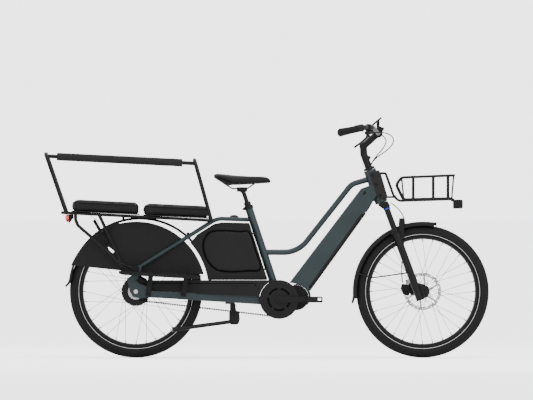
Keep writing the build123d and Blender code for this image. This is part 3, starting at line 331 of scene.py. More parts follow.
def dress(piece, body, replaced=()):
    """Rides the piece on its body and the CAD parts that it stands for."""
    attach(piece, body)
    if replaced:
        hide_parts(*replaced)
    print(piece.name, len(piece.data.polygons) if piece.type == "MESH" else "curve")
    return piece


def turned(profile, centre, axis, count=48, wobble=None):
    """Turns (radius, height) pairs about axis through centre: centre + r*(cos t, sin t) + h*axis."""
    axis = np.asarray(axis, float) / np.linalg.norm(axis)
    side = np.cross(axis, (0.0, 0.0, 1.0) if abs(axis[2]) < 0.9 else (1.0, 0.0, 0.0))
    side /= np.linalg.norm(side)
    other = np.cross(axis, side)
    turn = np.linspace(0.0, 2.0 * np.pi, count, endpoint=False)
    ring = np.cos(turn)[:, None] * side + np.sin(turn)[:, None] * other
    profile = np.asarray(profile, float)
    radius = profile[:, 0, None] * np.ones(count)
    if wobble is not None:
        radius = wobble(radius, profile[:, 1, None] + 0 * radius, turn[None])
    return np.asarray(centre) + radius[..., None] * ring + profile[:, 1, None, None] * axis


print("helpers ready")

# %% [markdown]
# ## Tyres
# A city tyre has a rounded tread with slanted blocks, two grooves that run all the way round, a
# smooth side wall and a reflective band. A plain ring would show none of it in outline, so the
# tread is cut into the surface: a grid round the wheel and round its section, pressed in wherever
# a groove passes.

# %% Tyres with cut tread
WHEELS = {"front": 0.7415, "rear": -0.620}
AXLE_Z = 0.3145
TYRE_R = 0.0305
TYRE_CENTRE = 0.3145 - TYRE_R
PITCHES = 132
STEPS = 8
TREAD_DEPTH = 0.0017
SECTION_MM = np.array([0.0, 2.4, 4.6, 5.2, 7.0, 7.6, 10.0, 12.4, 14.8, 17.0, 17.6, 19.2, 19.8, 22.0,
                       24.4, 26.8, 27.6, 31.0, 35.0, 39.0, 43.0, 47.0, 51.0, 55.0, 59.0, 63.0, 67.0,
                       70.0, 73.0])


def tyre_grid():
    """Radius 284 + (30.5 - cut)*cos f and width (30.5 - cut)*sin f, cut where a groove passes."""
    half = SECTION_MM / 30.5
    section = np.concatenate([-half[:0:-1], half])
    arc = np.abs(section) * 30.5
    turn = np.arange(PITCHES * STEPS)
    slant = np.round(arc / 3.0).astype(int)
    step = (turn[:, None] + slant[None] * np.where(section > 0, 1, -1)[None]) % STEPS
    rings = ((arc > 5.0) & (arc < 7.2)) | ((arc > 17.4) & (arc < 19.4))
    middle = (arc > 7.2) & (arc < 17.4)
    shoulder = (arc > 19.4) & (arc < 27.0)
    cut = np.where(rings[None], 1.0, 0.0)
    cut = np.where(middle[None] & (step == 0), 0.85, cut)
    cut = np.where(shoulder[None] & (step == 4), 1.0, cut)
    cut = np.where((arc < 4.0)[None] & (turn[:, None] % STEPS == 6), 0.5, cut)
    wall = np.clip((arc - 30.0) / 30.0, 0.0, 1.0)[None] * 0.0006
    depth = TYRE_R - cut * TREAD_DEPTH - wall * np.sin(np.clip((arc - 30) / 43, 0, 1) * np.pi)[None]
    out = TYRE_CENTRE + depth * np.cos(section)[None]
    across = depth * np.sin(section)[None]
    bead = np.linspace(1.0, -1.0, 5)[1:-1]
    out = np.concatenate([out, np.full((len(turn), 3), 0.2604)], 1)
    across = np.concatenate([across, np.repeat(bead[None] * 0.019, len(turn), 0)], 1)
    angle = (turn / len(turn) * 2.0 * np.pi)[:, None]
    return np.stack([out * np.cos(angle), across, out * np.sin(angle)], 2)


TYRE_GRID = tyre_grid()
for end, wheel_x in WHEELS.items():
    points, faces = shell(TYRE_GRID + np.array([wheel_x, 0.0, AXLE_Z]), wrap_rows=True)
    cover = put_mesh(end + "_tyre_tread", points, faces, FINISH["tyre_rubber"])
    dress(cover, end + "_wheel", [end + "_tyre"])

# %% [markdown]
# The reflective band is a thin strip of its own, a third of a millimetre proud of the wall.

# %% Reflective bands
FINISH["band"] = finish("reflective_band", (0.30, 0.30, 0.30), (0.42, 0.42, 0.42), (0.30, 0.42),
                        metallic=0.6, grain=2400.0, depth=0.00003)
BAND_FROM, BAND_TO = math.radians(113.5), math.radians(117.0)


def band_grid(side):
    """A strip between two angles of the tyre's section, bulging 0.35 mm, carried round the wheel."""
    angle = np.linspace(BAND_FROM, BAND_TO, 7)
    proud = 0.00035 * np.sin(np.linspace(0.0, np.pi, 7)) ** 0.5
    radius = np.concatenate([TYRE_R + proud, np.full(5, TYRE_R - 0.0012)])
    angle = np.concatenate([angle, angle[-2:0:-1]])
    out = TYRE_CENTRE + radius * np.cos(angle)
    across = side * radius * np.sin(angle)
    turn = np.linspace(0.0, 2.0 * np.pi, 288, endpoint=False)[:, None]
    return np.stack([out * np.cos(turn), across + 0 * turn, out * np.sin(turn)], 2)


for end, wheel_x in WHEELS.items():
    strips = []
    for side in (-1, 1):
        points, faces = shell(band_grid(side) + np.array([wheel_x, 0.0, AXLE_Z]), wrap_rows=True)
        strips.append((points, faces))
    strip = put_mesh(end + "_tyre_bands", *join(strips), FINISH["band"])
    dress(strip, end + "_wheel")

# %% [markdown]
# ## Passenger cushions
# Two foam cushions lie on the rear rack, each on its own board. A cushion is blown up like a real
# one: a smaller closed shape is remeshed into even squares, and Cloth pushes it out with a little
# air until the cover is tight. The piping follows the finished shape afterwards, because the
# remesh would have swallowed it.

# %% Cushion shape
CUSHION_HALF = 0.092
CUSHION_T = 0.056
BOARD_T = 0.005


def rounded_loop(length, width, radius, count=96):
    """A rounded rectangle: a circle of the corner radius, its quarters moved to the corners."""
    turn = (np.arange(count) + 0.5) / count * 2.0 * np.pi
    x = radius * np.cos(turn) + np.sign(np.cos(turn)) * (length / 2.0 - radius)
    y = radius * np.sin(turn) + np.sign(np.sin(turn)) * (width / 2.0 - radius)
    return np.stack([x, y], 1)


def pillow_grid(length, width, corner, low, high, edge):
    """Loops that grow from the middle of the underside, climb the side and close over the top."""
    bend = np.linspace(0.0, np.pi / 2.0, 6)
    inset = np.concatenate([[0.5], edge * (1.0 - np.sin(bend)), edge * (1.0 - np.cos(bend)), [0.5]])
    height = np.concatenate([[low], low + edge * (1.0 - np.cos(bend)), high - edge * (1.0 - np.sin(bend)),
                             [high]])
    rings = []
    for pull, z in zip(inset, height):
        loop = rounded_loop(max(length - 2 * pull, 0.02), max(width - 2 * pull, 0.012),
                            max(corner - pull, 0.003))
        rings.append(np.column_stack([loop, np.full(len(loop), z)]))
    return np.array(rings)


def rack_line(node):
    """The cushion's place on the sloping rack: middle, length, and rise per metre towards the front."""
    low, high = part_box(node)
    length = high.x - low.x
    rise = -((high.z - low.z) - CUSHION_T) / length
    return (low.x + high.x) / 2.0, (low.z + high.z) / 2.0 - CUSHION_T / 2.0, length, rise


def on_rack(points, node):
    """Moves points from the cushion's own place to the rack and shears them to its slope."""
    middle, base, _, rise = rack_line(node)
    moved = np.array(points, float)
    moved[..., 2] += base + moved[..., 0] * rise
    moved[..., 0] += middle
    return moved


# %% Cloth under pressure
AIR = 4.0
SWELL = 0.007


def inflate(piece, voxel=0.005, air=AIR, cap=SWELL):
    """Even squares, twenty frames of cloth with air inside, and no point moved by more than cap."""
    remesh = piece.modifiers.new("remesh", "REMESH")
    remesh.mode = "VOXEL"
    remesh.voxel_size = voxel
    bake_modifiers(piece)
    start = coordinates(piece.data)
    cloth = piece.modifiers.new("cloth", "CLOTH")
    cloth.settings.quality = 5
    cloth.settings.mass = 0.3
    cloth.settings.tension_stiffness = 15.0
    cloth.settings.compression_stiffness = 15.0
    cloth.settings.bending_stiffness = 0.5
    cloth.settings.use_pressure = True
    cloth.settings.uniform_pressure_force = air
    cloth.settings.effector_weights.gravity = 0.0
    cloth.collision_settings.use_collision = False
    scene = bpy.context.scene
    for number in range(1, 21):
        scene.frame_set(number)
    bake_modifiers(piece)
    scene.frame_set(1)
    moved = coordinates(piece.data) - start
    far = np.linalg.norm(moved, axis=1, keepdims=True)
    moved *= np.minimum(1.0, cap / np.maximum(far, 1e-9))
    piece.data.vertices.foreach_set("co", (start + moved).astype(np.float32).ravel())
    piece.data.update()
    return piece


def coordinates(mesh):
    """A mesh's points as an array."""
    flat = np.empty(len(mesh.vertices) * 3, np.float32)
    mesh.vertices.foreach_get("co", flat)
    return flat.reshape(-1, 3)


def bake_modifiers(piece):
    """Puts what the modifiers show into the mesh and removes them."""
    graph = bpy.context.evaluated_depsgraph_get()
    final = bpy.data.meshes.new_from_object(piece.evaluated_get(graph))
    piece.modifiers.clear()
    piece.data = final


def smooth_once(piece):
    """One level of subdivision, put into the mesh."""
    piece.modifiers.new("smooth", "SUBSURF").levels = 1
    bake_modifiers(piece)
    piece.data.polygons.foreach_set("use_smooth", np.full(len(piece.data.polygons), True))


def rest_on_board(piece, node):
    """Lifts every point that sagged below the board to it, and lowers what rose past the top."""
    middle, base, _, rise = rack_line(node)
    points = coordinates(piece.data).astype(float)
    level = points[:, 2] - base - (points[:, 0] - middle) * rise
    points[:, 2] += np.clip(level, BOARD_T, CUSHION_T + 0.006) - level
    piece.data.vertices.foreach_set("co", points.astype(np.float32).ravel())


# %% Cushions, boards and piping
from mathutils.bvhtree import BVHTree

GIVE = 0.004


def snapped(path, piece, proud):
    """Each point of a path put on the nearest place of a piece's surface, a little proud of it."""
    tree = BVHTree.FromPolygons([v.co for v in piece.data.vertices],
                                [p.vertices for p in piece.data.polygons])
    found = [tree.find_nearest(tuple(point))[:2] for point in path]
    return np.array([place + normal * proud for place, normal in found])


def closed_tube(path, radius, sides=10):
    """A tube round a closed path: at each point a circle across the path's direction."""
    along = np.roll(path, -1, 0) - np.roll(path, 1, 0)
    along /= np.linalg.norm(along, axis=1)[:, None]
    side = np.cross(along, (0.0, 0.0, 1.0))
    side /= np.linalg.norm(side, axis=1)[:, None]
    top = np.cross(side, along)
    turn = np.linspace(0.0, 2.0 * np.pi, sides, endpoint=False)
    grid = path[:, None] + radius * (np.cos(turn)[None, :, None] * side[:, None]
                                     + np.sin(turn)[None, :, None] * top[:, None])
    points = grid.reshape(-1, 3)
    faces = grid_faces(len(path), sides, True, True)
    return points, ring_outward(grid, faces)


for node in ("rear_cushion", "front_cushion"):
    _, _, length, _ = rack_line(node)
    grid = pillow_grid(length - 2 * GIVE, 2 * (CUSHION_HALF - GIVE), 0.030, BOARD_T, CUSHION_T - GIVE, 0.011)
    cushion = put_mesh(node + "_cover", *shell(on_rack(grid, node)), FINISH["seat_cover"])
    weld(cushion)
    inflate(cushion)
    rest_on_board(cushion, node)
    smooth_once(cushion)
    dress(cushion, "frame", [node])
    loops = []
    for level in (BOARD_T + 0.006, CUSHION_T - 0.009):
        loop = rounded_loop(length - 0.002, 2 * CUSHION_HALF - 0.002, 0.031, 160)
        loop = on_rack(np.column_stack([loop, np.full(len(loop), level)]), node)
        loops.append(closed_tube(snapped(loop, cushion, 0.0006), 0.0018))
    piping = put_mesh(node + "_piping", *join(loops), FINISH["rubber"])
    dress(piping, "frame")
    rim_loop = pillow_grid(length - 0.008, 2 * CUSHION_HALF - 0.008, 0.028, 0.0002, BOARD_T + 0.001, 0.002)
    board = put_mesh(node + "_board", *shell(on_rack(rim_loop, node)), FINISH["black_plastic"])
    weld(board)
    dress(board, "frame")

# %% [markdown]
# ## The rider's saddle
# A saddle is a lofted shape: wide and flat behind, narrow in front, crowned across, with a shallow
# channel along the middle. Each cross section is a flattened oval; its width, top and underside
# come from three curves along the bicycle. Below the pad sits a harder base, and a thin bead
# covers the seam between them.

# %% Saddle pad, base and bead
SADDLE_X = np.array([-250, -246, -236, -214, -190, -160, -130, -95, -60, -20, 0, 10, 16, 19]) / 1000.0
SADDLE_W = np.array([40, 64, 80, 87, 86, 74, 58, 40, 30, 23, 20.5, 18, 13, 6]) / 1000.0
SADDLE_TOP = np.array([866, 872, 874.5, 873.5, 871, 867.5, 865.5, 864, 862.5, 860.5, 858, 853, 847,
                       840]) / 1000.0
SADDLE_LOW = np.array([857, 855, 852, 845, 835, 824, 822.5, 824, 825.5, 828, 829, 830, 830.5, 831]) / 1000.0


def saddle_grid(low, top, width, power, around=56, along=64):
    """Sections y = w*sin'(t), z = middle + rise*cos'(t), where sin' and cos' are raised to a power."""
    x = SADDLE_X[0] + (SADDLE_X[-1] - SADDLE_X[0]) * (1.0 - np.cos(np.linspace(0, np.pi, along))) / 2.0
    w, z1, z0 = (np.interp(x, SADDLE_X, values) for values in (width, top, low))
    turn = np.linspace(0.0, 2.0 * np.pi, around, endpoint=False)
    sine = np.sign(np.sin(turn)) * np.abs(np.sin(turn)) ** power
    cosine = np.sign(np.cos(turn)) * np.abs(np.cos(turn)) ** power
    middle = (z0 + 0.42 * (z1 - z0))[:, None]
    rise = np.where(cosine[None] > 0, z1[:, None] - middle, middle - z0[:, None])
    y = w[:, None] * sine[None]
    z = middle + rise * cosine[None]
    bell = np.exp(-(y / 0.011) ** 2) * np.clip(cosine[None], 0.0, 1.0)
    z -= 0.0045 * bell * np.exp(-((x[:, None] + 0.13) / 0.075) ** 4)
    return np.stack([np.repeat(x[:, None], around, 1), y, z], 2)


saddle_pad = put_mesh("saddle_pad", *shell(saddle_grid(SADDLE_LOW, SADDLE_TOP, SADDLE_W, 0.72)),
                      FINISH["seat_cover"])
weld(saddle_pad)
smooth_once(saddle_pad)
dress(saddle_pad, "saddle_top", ["saddle"])

base_low = SADDLE_LOW - np.interp(SADDLE_X, [-0.25, -0.236, -0.214, -0.19, -0.16, -0.13, 0.0],
                                  [0.001, 0.006, 0.013, 0.019, 0.004, 0.002, 0.0])
saddle_base = put_mesh("saddle_base", *shell(saddle_grid(base_low, SADDLE_LOW + 0.012, SADDLE_W * 0.93, 0.6)),
                       FINISH["black_plastic"])
weld(saddle_base)
dress(saddle_base, "saddle_top")

seam_x = np.concatenate([np.linspace(-0.2485, 0.0175, 60), np.linspace(0.0175, -0.2485, 60)])
seam_side = np.repeat([1.0, -1.0], 60)
seam_z = np.interp(seam_x, SADDLE_X, SADDLE_LOW + 0.36 * (SADDLE_TOP - SADDLE_LOW))
seam = np.stack([seam_x, seam_side * np.interp(seam_x, SADDLE_X, SADDLE_W), seam_z], 1)
bead = put_mesh("saddle_bead", *closed_tube(snapped(seam, saddle_pad, 0.0002), 0.0014), FINISH["rubber"])
dress(bead, "saddle_top")

# %% [markdown]
# ## Foam on the hand rails
# The hand rails carry sleeves of closed-cell foam, slipped on and held by their own grip. The
# sleeve is a carried circle whose radius wanders by a fraction of a millimetre and turns in at
# both ends.

# %% Foam sleeves
FINISH["foam"] = finish("foam", (0.0050, 0.0050, 0.0052), (0.0080, 0.0080, 0.0083), (0.78, 0.92), grain=700.0,
                        depth=0.00022, cells=True, specular=0.12)
PAD_FROM, PAD_TO = np.array([-0.994, 0.9550]), np.array([-0.400, 0.9256])
PAD_R = 0.018
RAIL_SIDE = 0.1175


def sleeve(side):
    """Circles along the rail; radius 18 mm, less 2 mm at the very ends, plus a slow 0.25 mm wander."""
    at = np.concatenate([[0.0, 0.0, 0.002, 0.005], np.linspace(0.012, 0.988, 70), [0.995, 0.998, 1.0, 1.0]])
    turn = np.linspace(0.0, 2.0 * np.pi, 32, endpoint=False)
    radius = np.full(len(at), PAD_R)
    radius[[0, 1, 2, -3, -2, -1]] = [0.0100, 0.0160, 0.0174, 0.0174, 0.0160, 0.0100]
    wander = 0.00025 * np.sin(at * 41.0 + 2.0 * side)[:, None] * np.sin(2.0 * turn + at[:, None] * 9.0)
    section = (radius[:, None] + wander)[..., None] * np.stack([np.cos(turn), np.sin(turn)], 1)
    line = PAD_FROM + at[:, None] * (PAD_TO - PAD_FROM)
    path = np.stack([line[:, 0], np.full(len(at), side * RAIL_SIDE), line[:, 1]], 1)
    direction = np.array([PAD_TO[0] - PAD_FROM[0], 0.0, PAD_TO[1] - PAD_FROM[1]])
    direction /= np.linalg.norm(direction)
    up = np.array([-direction[2], 0.0, direction[0]])
    return path[:, None] + section[..., 0, None] * np.array([0.0, 1.0, 0.0]) + section[..., 1, None] * up


foam = put_mesh("rail_foam", *join([shell(sleeve(-1)), shell(sleeve(1))]), FINISH["foam"])
weld(foam)
dress(foam, "frame", ["rail_pads"])

# %% [markdown]
# ## Hoses and wires
# The brake hoses leave the lever clamps, loop forward over the lamp side of the bar and enter the
# head tube; one more runs from the crown down the left leg. Each is one smooth NURBS line through
# the air with a round bevel, because a hose never has a corner.


# %% Hoses
def hose(name, points, radius, body, finish_name, replaced=()):
    """A smooth NURBS line of order 3 with a round section; points are in metres."""
    data = bpy.data.curves.new(name, "CURVE")
    data.dimensions = "3D"
    data.resolution_u = 12
    data.bevel_depth = radius
    data.bevel_resolution = 4
    data.use_fill_caps = True
    line = data.splines.new("NURBS")
    line.points.add(len(points) - 1)
    line.points.foreach_set("co", np.column_stack([points, np.ones(len(points))]).astype(np.float32).ravel())
    line.order_u = 3
    line.use_endpoint_u = True
    data.materials.append(FINISH[finish_name])
    piece = bpy.data.objects.new(name, data)
    bpy.context.scene.collection.objects.link(piece)
    return dress(piece, body, replaced)


FINISH["hose"] = finish("hose", (0.0014, 0.0014, 0.0014), (0.0026, 0.0026, 0.0026), (0.42, 0.54),
                        grain=1800.0, depth=0.00003, specular=0.07)
RIGHT_HOSE = np.array([(499, -168, 1068), (540, -152, 1070), (580, -122, 1064), (606, -84, 1040),
                       (596, -48, 1006), (560, -26, 976), (528, -18, 955), (500, -15, 928),
                       (494, -14, 916)]) / 1000.0
LEFT_HOSE = np.array([(499, 168, 1068), (530, 146, 1066), (560, 112, 1052), (572, 74, 1026),
                      (556, 42, 996), (530, 26, 966), (508, 18, 940), (497, 14, 916)]) / 1000.0
FORK_HOSE = np.array([(590.5, 50, 736.5), (614.7, 50, 719.8), (640, 49, 692), (656, 47, 660),
                      (657, 43, 620), (657, 40, 582), (652, 39.6, 540), (648, 39.6, 495),
                      (644, 39.6, 448), (641, 40, 398), (647, 41, 356)]) / 1000.0
hose("hose_right", RIGHT_HOSE, 0.0028, "steering", "hose", ["brake_hoses"])
hose("hose_left", LEFT_HOSE, 0.0028, "steering", "hose", ["brake_hoses"])
hose("hose_fork", FORK_HOSE, 0.0026, "fork_slider", "hose", ["fork_hose"])
LIGHT_WIRE = np.array([(-842, -58, 683), (-836, -56, 676), (-822, -52, 664), (-808, -46, 656),
                       (-800, -40, 648), (-796, -36, 640)]) / 1000.0
hose("lamp_wire", LIGHT_WIRE, 0.0014, "frame", "hose")

# %% [markdown]
# ## Small fittings
# What makes a bicycle look real is its hardware: sockets in bolt heads, ribs in grips, lenses with
# flutes. Each is a turned or carried profile, repeated where the metal has it.


# %% Socket-head bolts
def bolt_grid(place, axis, radius, height):
    """A turned head whose recess is a hexagon: radius s*cos(30)/cos(t mod 60 - 30) below the rim."""
    profile = [(radius * 0.98, -0.0004), (radius, 0.0), (radius, height * 0.7), (radius * 0.86, height),
               (radius * 0.60, height), (radius * 0.52, height * 0.9), (radius * 0.52, height * 0.3),
               (radius * 0.05, height * 0.25)]

    def hexagon(r, h, turn):
        six = math.cos(math.pi / 6) / np.cos(np.mod(turn, np.pi / 3) - np.pi / 6)
        return np.where(r < radius * 0.56, r * six, r)

    return turned(profile, place, axis, 24, hexagon)


def bolts(name, places, axis, radius, height, body, finish_name):
    """Several bolt heads as one piece."""
    parts = [shell(bolt_grid(place, axis, radius, height)) for place in places]
    return dress(put_mesh(name, *join(parts), FINISH[finish_name]), body)


HEAD = np.array([0.4864, 0.0, 0.9006])
LEAN = math.radians(20.2)
DOWN_AXIS = np.array([math.sin(LEAN), 0.0, -math.cos(LEAN)])
FORWARD = np.array([math.cos(LEAN), 0.0, math.sin(LEAN)])


def steer(a, f, y=0.0):
    """A point a metres down the steering axis, f in front of it and y to the left."""
    return HEAD + a * DOWN_AXIS + f * FORWARD + np.array([0.0, y, 0.0])


for side, tag in ((-1, "right"), (1, "left")):
    bolts("head_bolts_" + tag, [steer(a, 0.005, side * 0.040) for a in (0.0389, 0.0835, 0.1389)],
          (0, side, 0), 0.0062, 0.0022, "frame", "black_steel")
    bolts("crank_bolt_" + tag, [(0.060, side * 0.0795, 0.277)], (0, side, 0), 0.0088, 0.003, "crankset",
          "black_alloy")
    bolts("board_bolts_" + tag, [(-0.562, side * 0.0925, 0.303), (-0.398, side * 0.0925, 0.301)],
          (0, side, 0), 0.0055, 0.0035, "frame", "black_steel")

# %% Blue travel rings and fork wipers
FINISH["blue_ring"] = finish("blue_ring", (0.004, 0.010, 0.16), (0.006, 0.016, 0.22), (0.25, 0.35),
                             metallic=0.5, grain=1500.0, depth=0.00002)
RING = [(0.0142, 0.0), (0.0164, 0.0006), (0.0168, 0.002), (0.0168, 0.006), (0.0162, 0.0075), (0.0142, 0.008)]
WIPER = [(0.0145, 0.0), (0.0180, 0.0005), (0.0212, 0.003), (0.0216, 0.006), (0.0212, 0.009), (0.0145, 0.0095)]


def ring_shell(profile, place, axis, count=40):
    """A turned ring closed on itself: the profile's last point joins its first."""
    return shell(turned(profile, place, axis, count).transpose(1, 0, 2), wrap_rows=True)


rings = [ring_shell(RING, steer(0.2065, 0.013, side * 0.062), DOWN_AXIS) for side in (-1, 1)]
dress(put_mesh("fork_rings", *join(rings), FINISH["blue_ring"]), "steering")
wipers = [ring_shell(WIPER, steer(0.3265, 0.013, side * 0.062), DOWN_AXIS) for side in (-1, 1)]
dress(put_mesh("fork_wipers", *join(wipers), FINISH["rubber"]), "fork_slider")

# %% [markdown]
# ## Lamps
# A lamp is read by its lens. The tail lens is red acrylic with fine flutes that wraps its housing,
# with a round reflector under it; the head lens is clear with a bright bowl behind.

# %% Lenses
FINISH["red_lens"] = finish("red_lens", (0.52, 0.012, 0.006), (0.68, 0.022, 0.010), (0.10, 0.18), grain=500.0,
                            depth=0.00003, coat=0.5, specular=0.5)
FINISH["clear_lens"] = finish("clear_lens", (0.35, 0.36, 0.37), (0.50, 0.51, 0.52), (0.08, 0.16),
                              metallic=0.3, grain=500.0, depth=0.00003, coat=1.0)


def lens(name, centre, out, wide, width, height, rise, corner, flutes, finish_name, body):
    """A rounded rectangle that rises as a dome, (1 - k^4), with flutes of a tenth of the rise."""
    out, wide = np.asarray(out, float), np.asarray(wide, float)
    tall = np.cross(out, wide)
    steps = np.array([1.0, 1.0, 0.985, 0.94, 0.85, 0.7, 0.5, 0.3, 0.12])
    level = np.concatenate([[-0.3], (1.0 - steps[1:] ** 6)])
    loop = rounded_loop(width, height, corner, 96)
    grid = loop[None] * steps[:, None, None]
    ripple = 0.10 * np.cos(grid[..., 0] / width * 2.0 * np.pi * flutes)
    z = rise * (level[:, None] + np.where(steps[:, None] < 0.9, ripple, 0.0))
    points = (np.asarray(centre, float) + grid[..., 0, None] * wide + grid[..., 1, None] * tall
              + z[..., None] * out)
    piece = put_mesh(name, *shell(points), FINISH[finish_name])
    weld(piece)
    return dress(piece, body)


lens("tail_lens", (-0.9512, 0.0, 0.6655), (-1, 0, 0), (0, 1, 0), 0.070, 0.024, 0.006, 0.008, 17, "red_lens",
     "frame")
for side, tag in ((-1, "right"), (1, "left")):
    lens("tail_side_lens_" + tag, (-0.9445, side * 0.0361, 0.6665), (0, side, 0), (1, 0, 0), 0.012, 0.020,
         0.0035, 0.004, 3, "red_lens", "frame")
    lens("rear_reflector_" + tag, (-0.9405, side * 0.0361, 0.6475), (0, side, 0), (1, 0, 0), 0.009, 0.009,
         0.0025, 0.004, 3, "red_lens", "frame")
lens("head_lens", (0.9311, 0.0, 0.7300), (1, 0, 0), (0, 1, 0), 0.044, 0.034, 0.004, 0.008, 11, "clear_lens",
     "frame")

# %% [markdown]
# ## Grips
# A comfort grip is a rubber sleeve that widens towards the palm, with a raised lattice for the
# hand. The lattice is part of the radius, so it also shows in outline.

# %% Grips with a raised lattice
GRIP_FROM = np.array([0.460, -0.236, 1.093])
GRIP_TO = np.array([0.352, -0.330, 1.070])


def grip(start, mirror):
    """Radius 15.4 + 3.6*s^3 mm with a lattice of 0.5 mm, a flange in front and a round end."""
    axis = GRIP_TO - GRIP_FROM
    length = np.linalg.norm(axis) + 0.0062
    axis = axis / np.linalg.norm(axis)
    at = np.concatenate([[0.0, 0.0005, 0.003, 0.0045], np.linspace(0.006, length - start - 0.006, 90),
                         length - start - np.array([0.004, 0.0022, 0.0008, 0.0])])
    along = at / (length - start)
    radius = 0.0153 + 0.0034 * along ** 3
    radius[:4] = [0.0150, 0.0168, 0.0168, 0.0158]
    radius[-4:] = [0.0184, 0.0176, 0.0155, 0.0110]

    def lattice(r, h, turn):
        wave = np.cos(14 * turn + h * 900.0) * np.cos(14 * turn - h * 900.0)
        inside = (h - start > 0.008) & (h < length - 0.009)
        return r + np.where(inside, 0.00035 * np.clip(wave * 3.0, -1.0, 1.0), 0.0)

    grid = turned(np.column_stack([radius, start + at]), GRIP_FROM, axis, 84, lattice)
    grid[..., 1] *= mirror
    return shell(grid)


grips = put_mesh("grip_sleeves", *join([grip(0.049, 1.0), grip(0.009, -1.0)]), FINISH["rubber"])
weld(grips)
dress(grips, "steering", ["grips"])

# %% [markdown]
# ## The motor's shell and the painted foot of the down tube
# A painted cast shell hugs the front of the motor and runs up into the down tube, so the motor
# seems to grow out of the frame. It is a plate bent round the motor, carried across its width.

# %% Motor shell
MOTOR = np.array([0.140, 0.285])
SHELL_STEPS = 60
SHELL_IN_R = 0.0606
SHELL_EDGE_T, SHELL_SWELL = 0.0015, 0.0105


def motor_shell():
    """An arc band round the motor from 101 to -36 degrees, thickest half way as sin(pi*s)^0.8."""
    turn = np.radians(np.linspace(101.0, -36.0, SHELL_STEPS))
    inner = np.full(SHELL_STEPS, SHELL_IN_R)
    swell = np.sin(np.linspace(0.0, 1.0, SHELL_STEPS) * np.pi) ** 0.8
    outer = SHELL_IN_R + SHELL_EDGE_T + SHELL_SWELL * swell
    half = 0.037
    edge = 0.006
    profile = [(-half + 0.002, 0.0), (-half, 0.35), (-half + 0.001, 0.75), (-half + edge, 1.0), (0.0, 1.02),
               (half - edge, 1.0), (half - 0.001, 0.75), (half, 0.35), (half - 0.002, 0.0), (0.0, 0.0)]
    grid = []
    for across, share in profile:
        radius = inner + share * (outer - inner)
        grid.append(np.stack([MOTOR[0] + radius * np.cos(turn), np.full(SHELL_STEPS, across),
                              MOTOR[1] + radius * np.sin(turn)], 1))
    return shell(np.array(grid).transpose(1, 0, 2))


shell_piece = put_mesh("motor_shell", *motor_shell(), FINISH["frame_paint"])
weld(shell_piece)
dress(shell_piece, "frame")

# %% [markdown]
# ## Deck ribs, drain caps and other trims
# The running boards carry raised ribs for the feet. The near-black strip under the down tube, where
# the battery's cover sits with a port near its top, is painted shade on the tube's underside, and a
# small oval cap closes the cable hole on the seat stays.

# %% Running board ribs
BOARD_FROM, BOARD_TO = np.array([-0.694, 0.4117]), np.array([-0.318, 0.3904])
parts = []
for side in (-1, 1):
    for across in np.linspace(0.092, 0.168, 9):
        at = np.array([0.0, 0.0, 0.01, 0.99, 1.0, 1.0])
        line = BOARD_FROM + at[:, None] * (BOARD_TO - BOARD_FROM)
        path = np.stack([line[:, 0], np.full(6, side * across), line[:, 1]], 1)
        size = np.array([0.2, 0.8, 1.0, 1.0, 0.8, 0.2])
        section = np.array([(-0.0024, -0.0003), (-0.0017, 0.0011), (0.0, 0.0014), (0.0017, 0.0011),
                            (0.0024, -0.0003)])
        rib = path[:, None] + size[:, None, None] * (section[:, 0, None] * np.array([0.0, 1.0, 0.0])
                                                     + section[:, 1, None] * np.array([0.0, 0.0, 1.0]))
        parts.append(shell(rib))
ribs = put_mesh("board_ribs", *join(parts), FINISH["rubber"])
dress(ribs, "frame")


# %% Caps, ports and clips
def dome(name, centre, out, wide, width, height, rise, finish_name, body):
    """An oval button: a rounded rectangle whose corners meet, rising as 1 - k^2."""
    out, wide = np.asarray(out, float), np.asarray(wide, float)
    tall = np.cross(out, wide)
    steps = np.array([1.0, 1.0, 0.97, 0.9, 0.78, 0.6, 0.35, 0.1])
    level = np.concatenate([[-0.4], 1.0 - steps[1:] ** 3])
    loop = rounded_loop(width, height, min(width, height) / 2.0 - 0.0001, 64)
    grid = loop[None] * steps[:, None, None]
    points = (np.asarray(centre, float) + grid[..., 0, None] * wide + grid[..., 1, None] * tall
              + rise * level[:, None, None] * out)
    piece = put_mesh(name, *shell(points), FINISH[finish_name])
    weld(piece)
    return dress(piece, body)


dome("stay_cap", (-0.154, 0.0, 0.6665), (0, 0, 1), (1, 0, 0), 0.048, 0.070, 0.012, "rubber", "frame")
dome("charge_port", (0.465, -0.0372, 0.782), (0, -1, 0), (0.6, 0.0, 0.8), 0.020, 0.010, 0.0022, "rubber",
     "frame")
for side, tag in ((-1, "right"), (1, "left")):
    dome("stay_clip_" + tag, (-0.372, side * 0.048, 0.5875), (-0.53, 0, 0.85), (0.85, 0, 0.53), 0.014, 0.018,
         0.009, "rubber", "frame")

# %% [markdown]
# ## Moulded covers
# The side cover is a vacuum-formed panel: a raised pad with large corners and a soft edge; the shade
# of the groove round it is painted as a near-black ring. Its outline is a smooth closed curve through a
# few points, and the pad's height is a quarter circle across the edge. The same curve, moved outwards,
# makes the ring of painted shade.


# %% Pads of the side covers and the painted groove shade round them
def smooth_loop(points, count=160):
    """Catmull-Rom through closed points: 0.5*(2b + (c-a)t + (2a-5b+4c-d)t^2 + (3b-3c+d-a)t^3)."""
    points = np.asarray(points, float)
    at = np.linspace(0.0, len(points), count, endpoint=False)
    k, t = at.astype(int), (at % 1.0)[:, None]
    a, b, c, d = (points[(k + step) % len(points)] for step in (-1, 0, 1, 2))
    return 0.5 * (2 * b + (c - a) * t + (2 * a - 5 * b + 4 * c - d) * t ** 2
                  + (3 * b - 3 * c + d - a) * t ** 3)


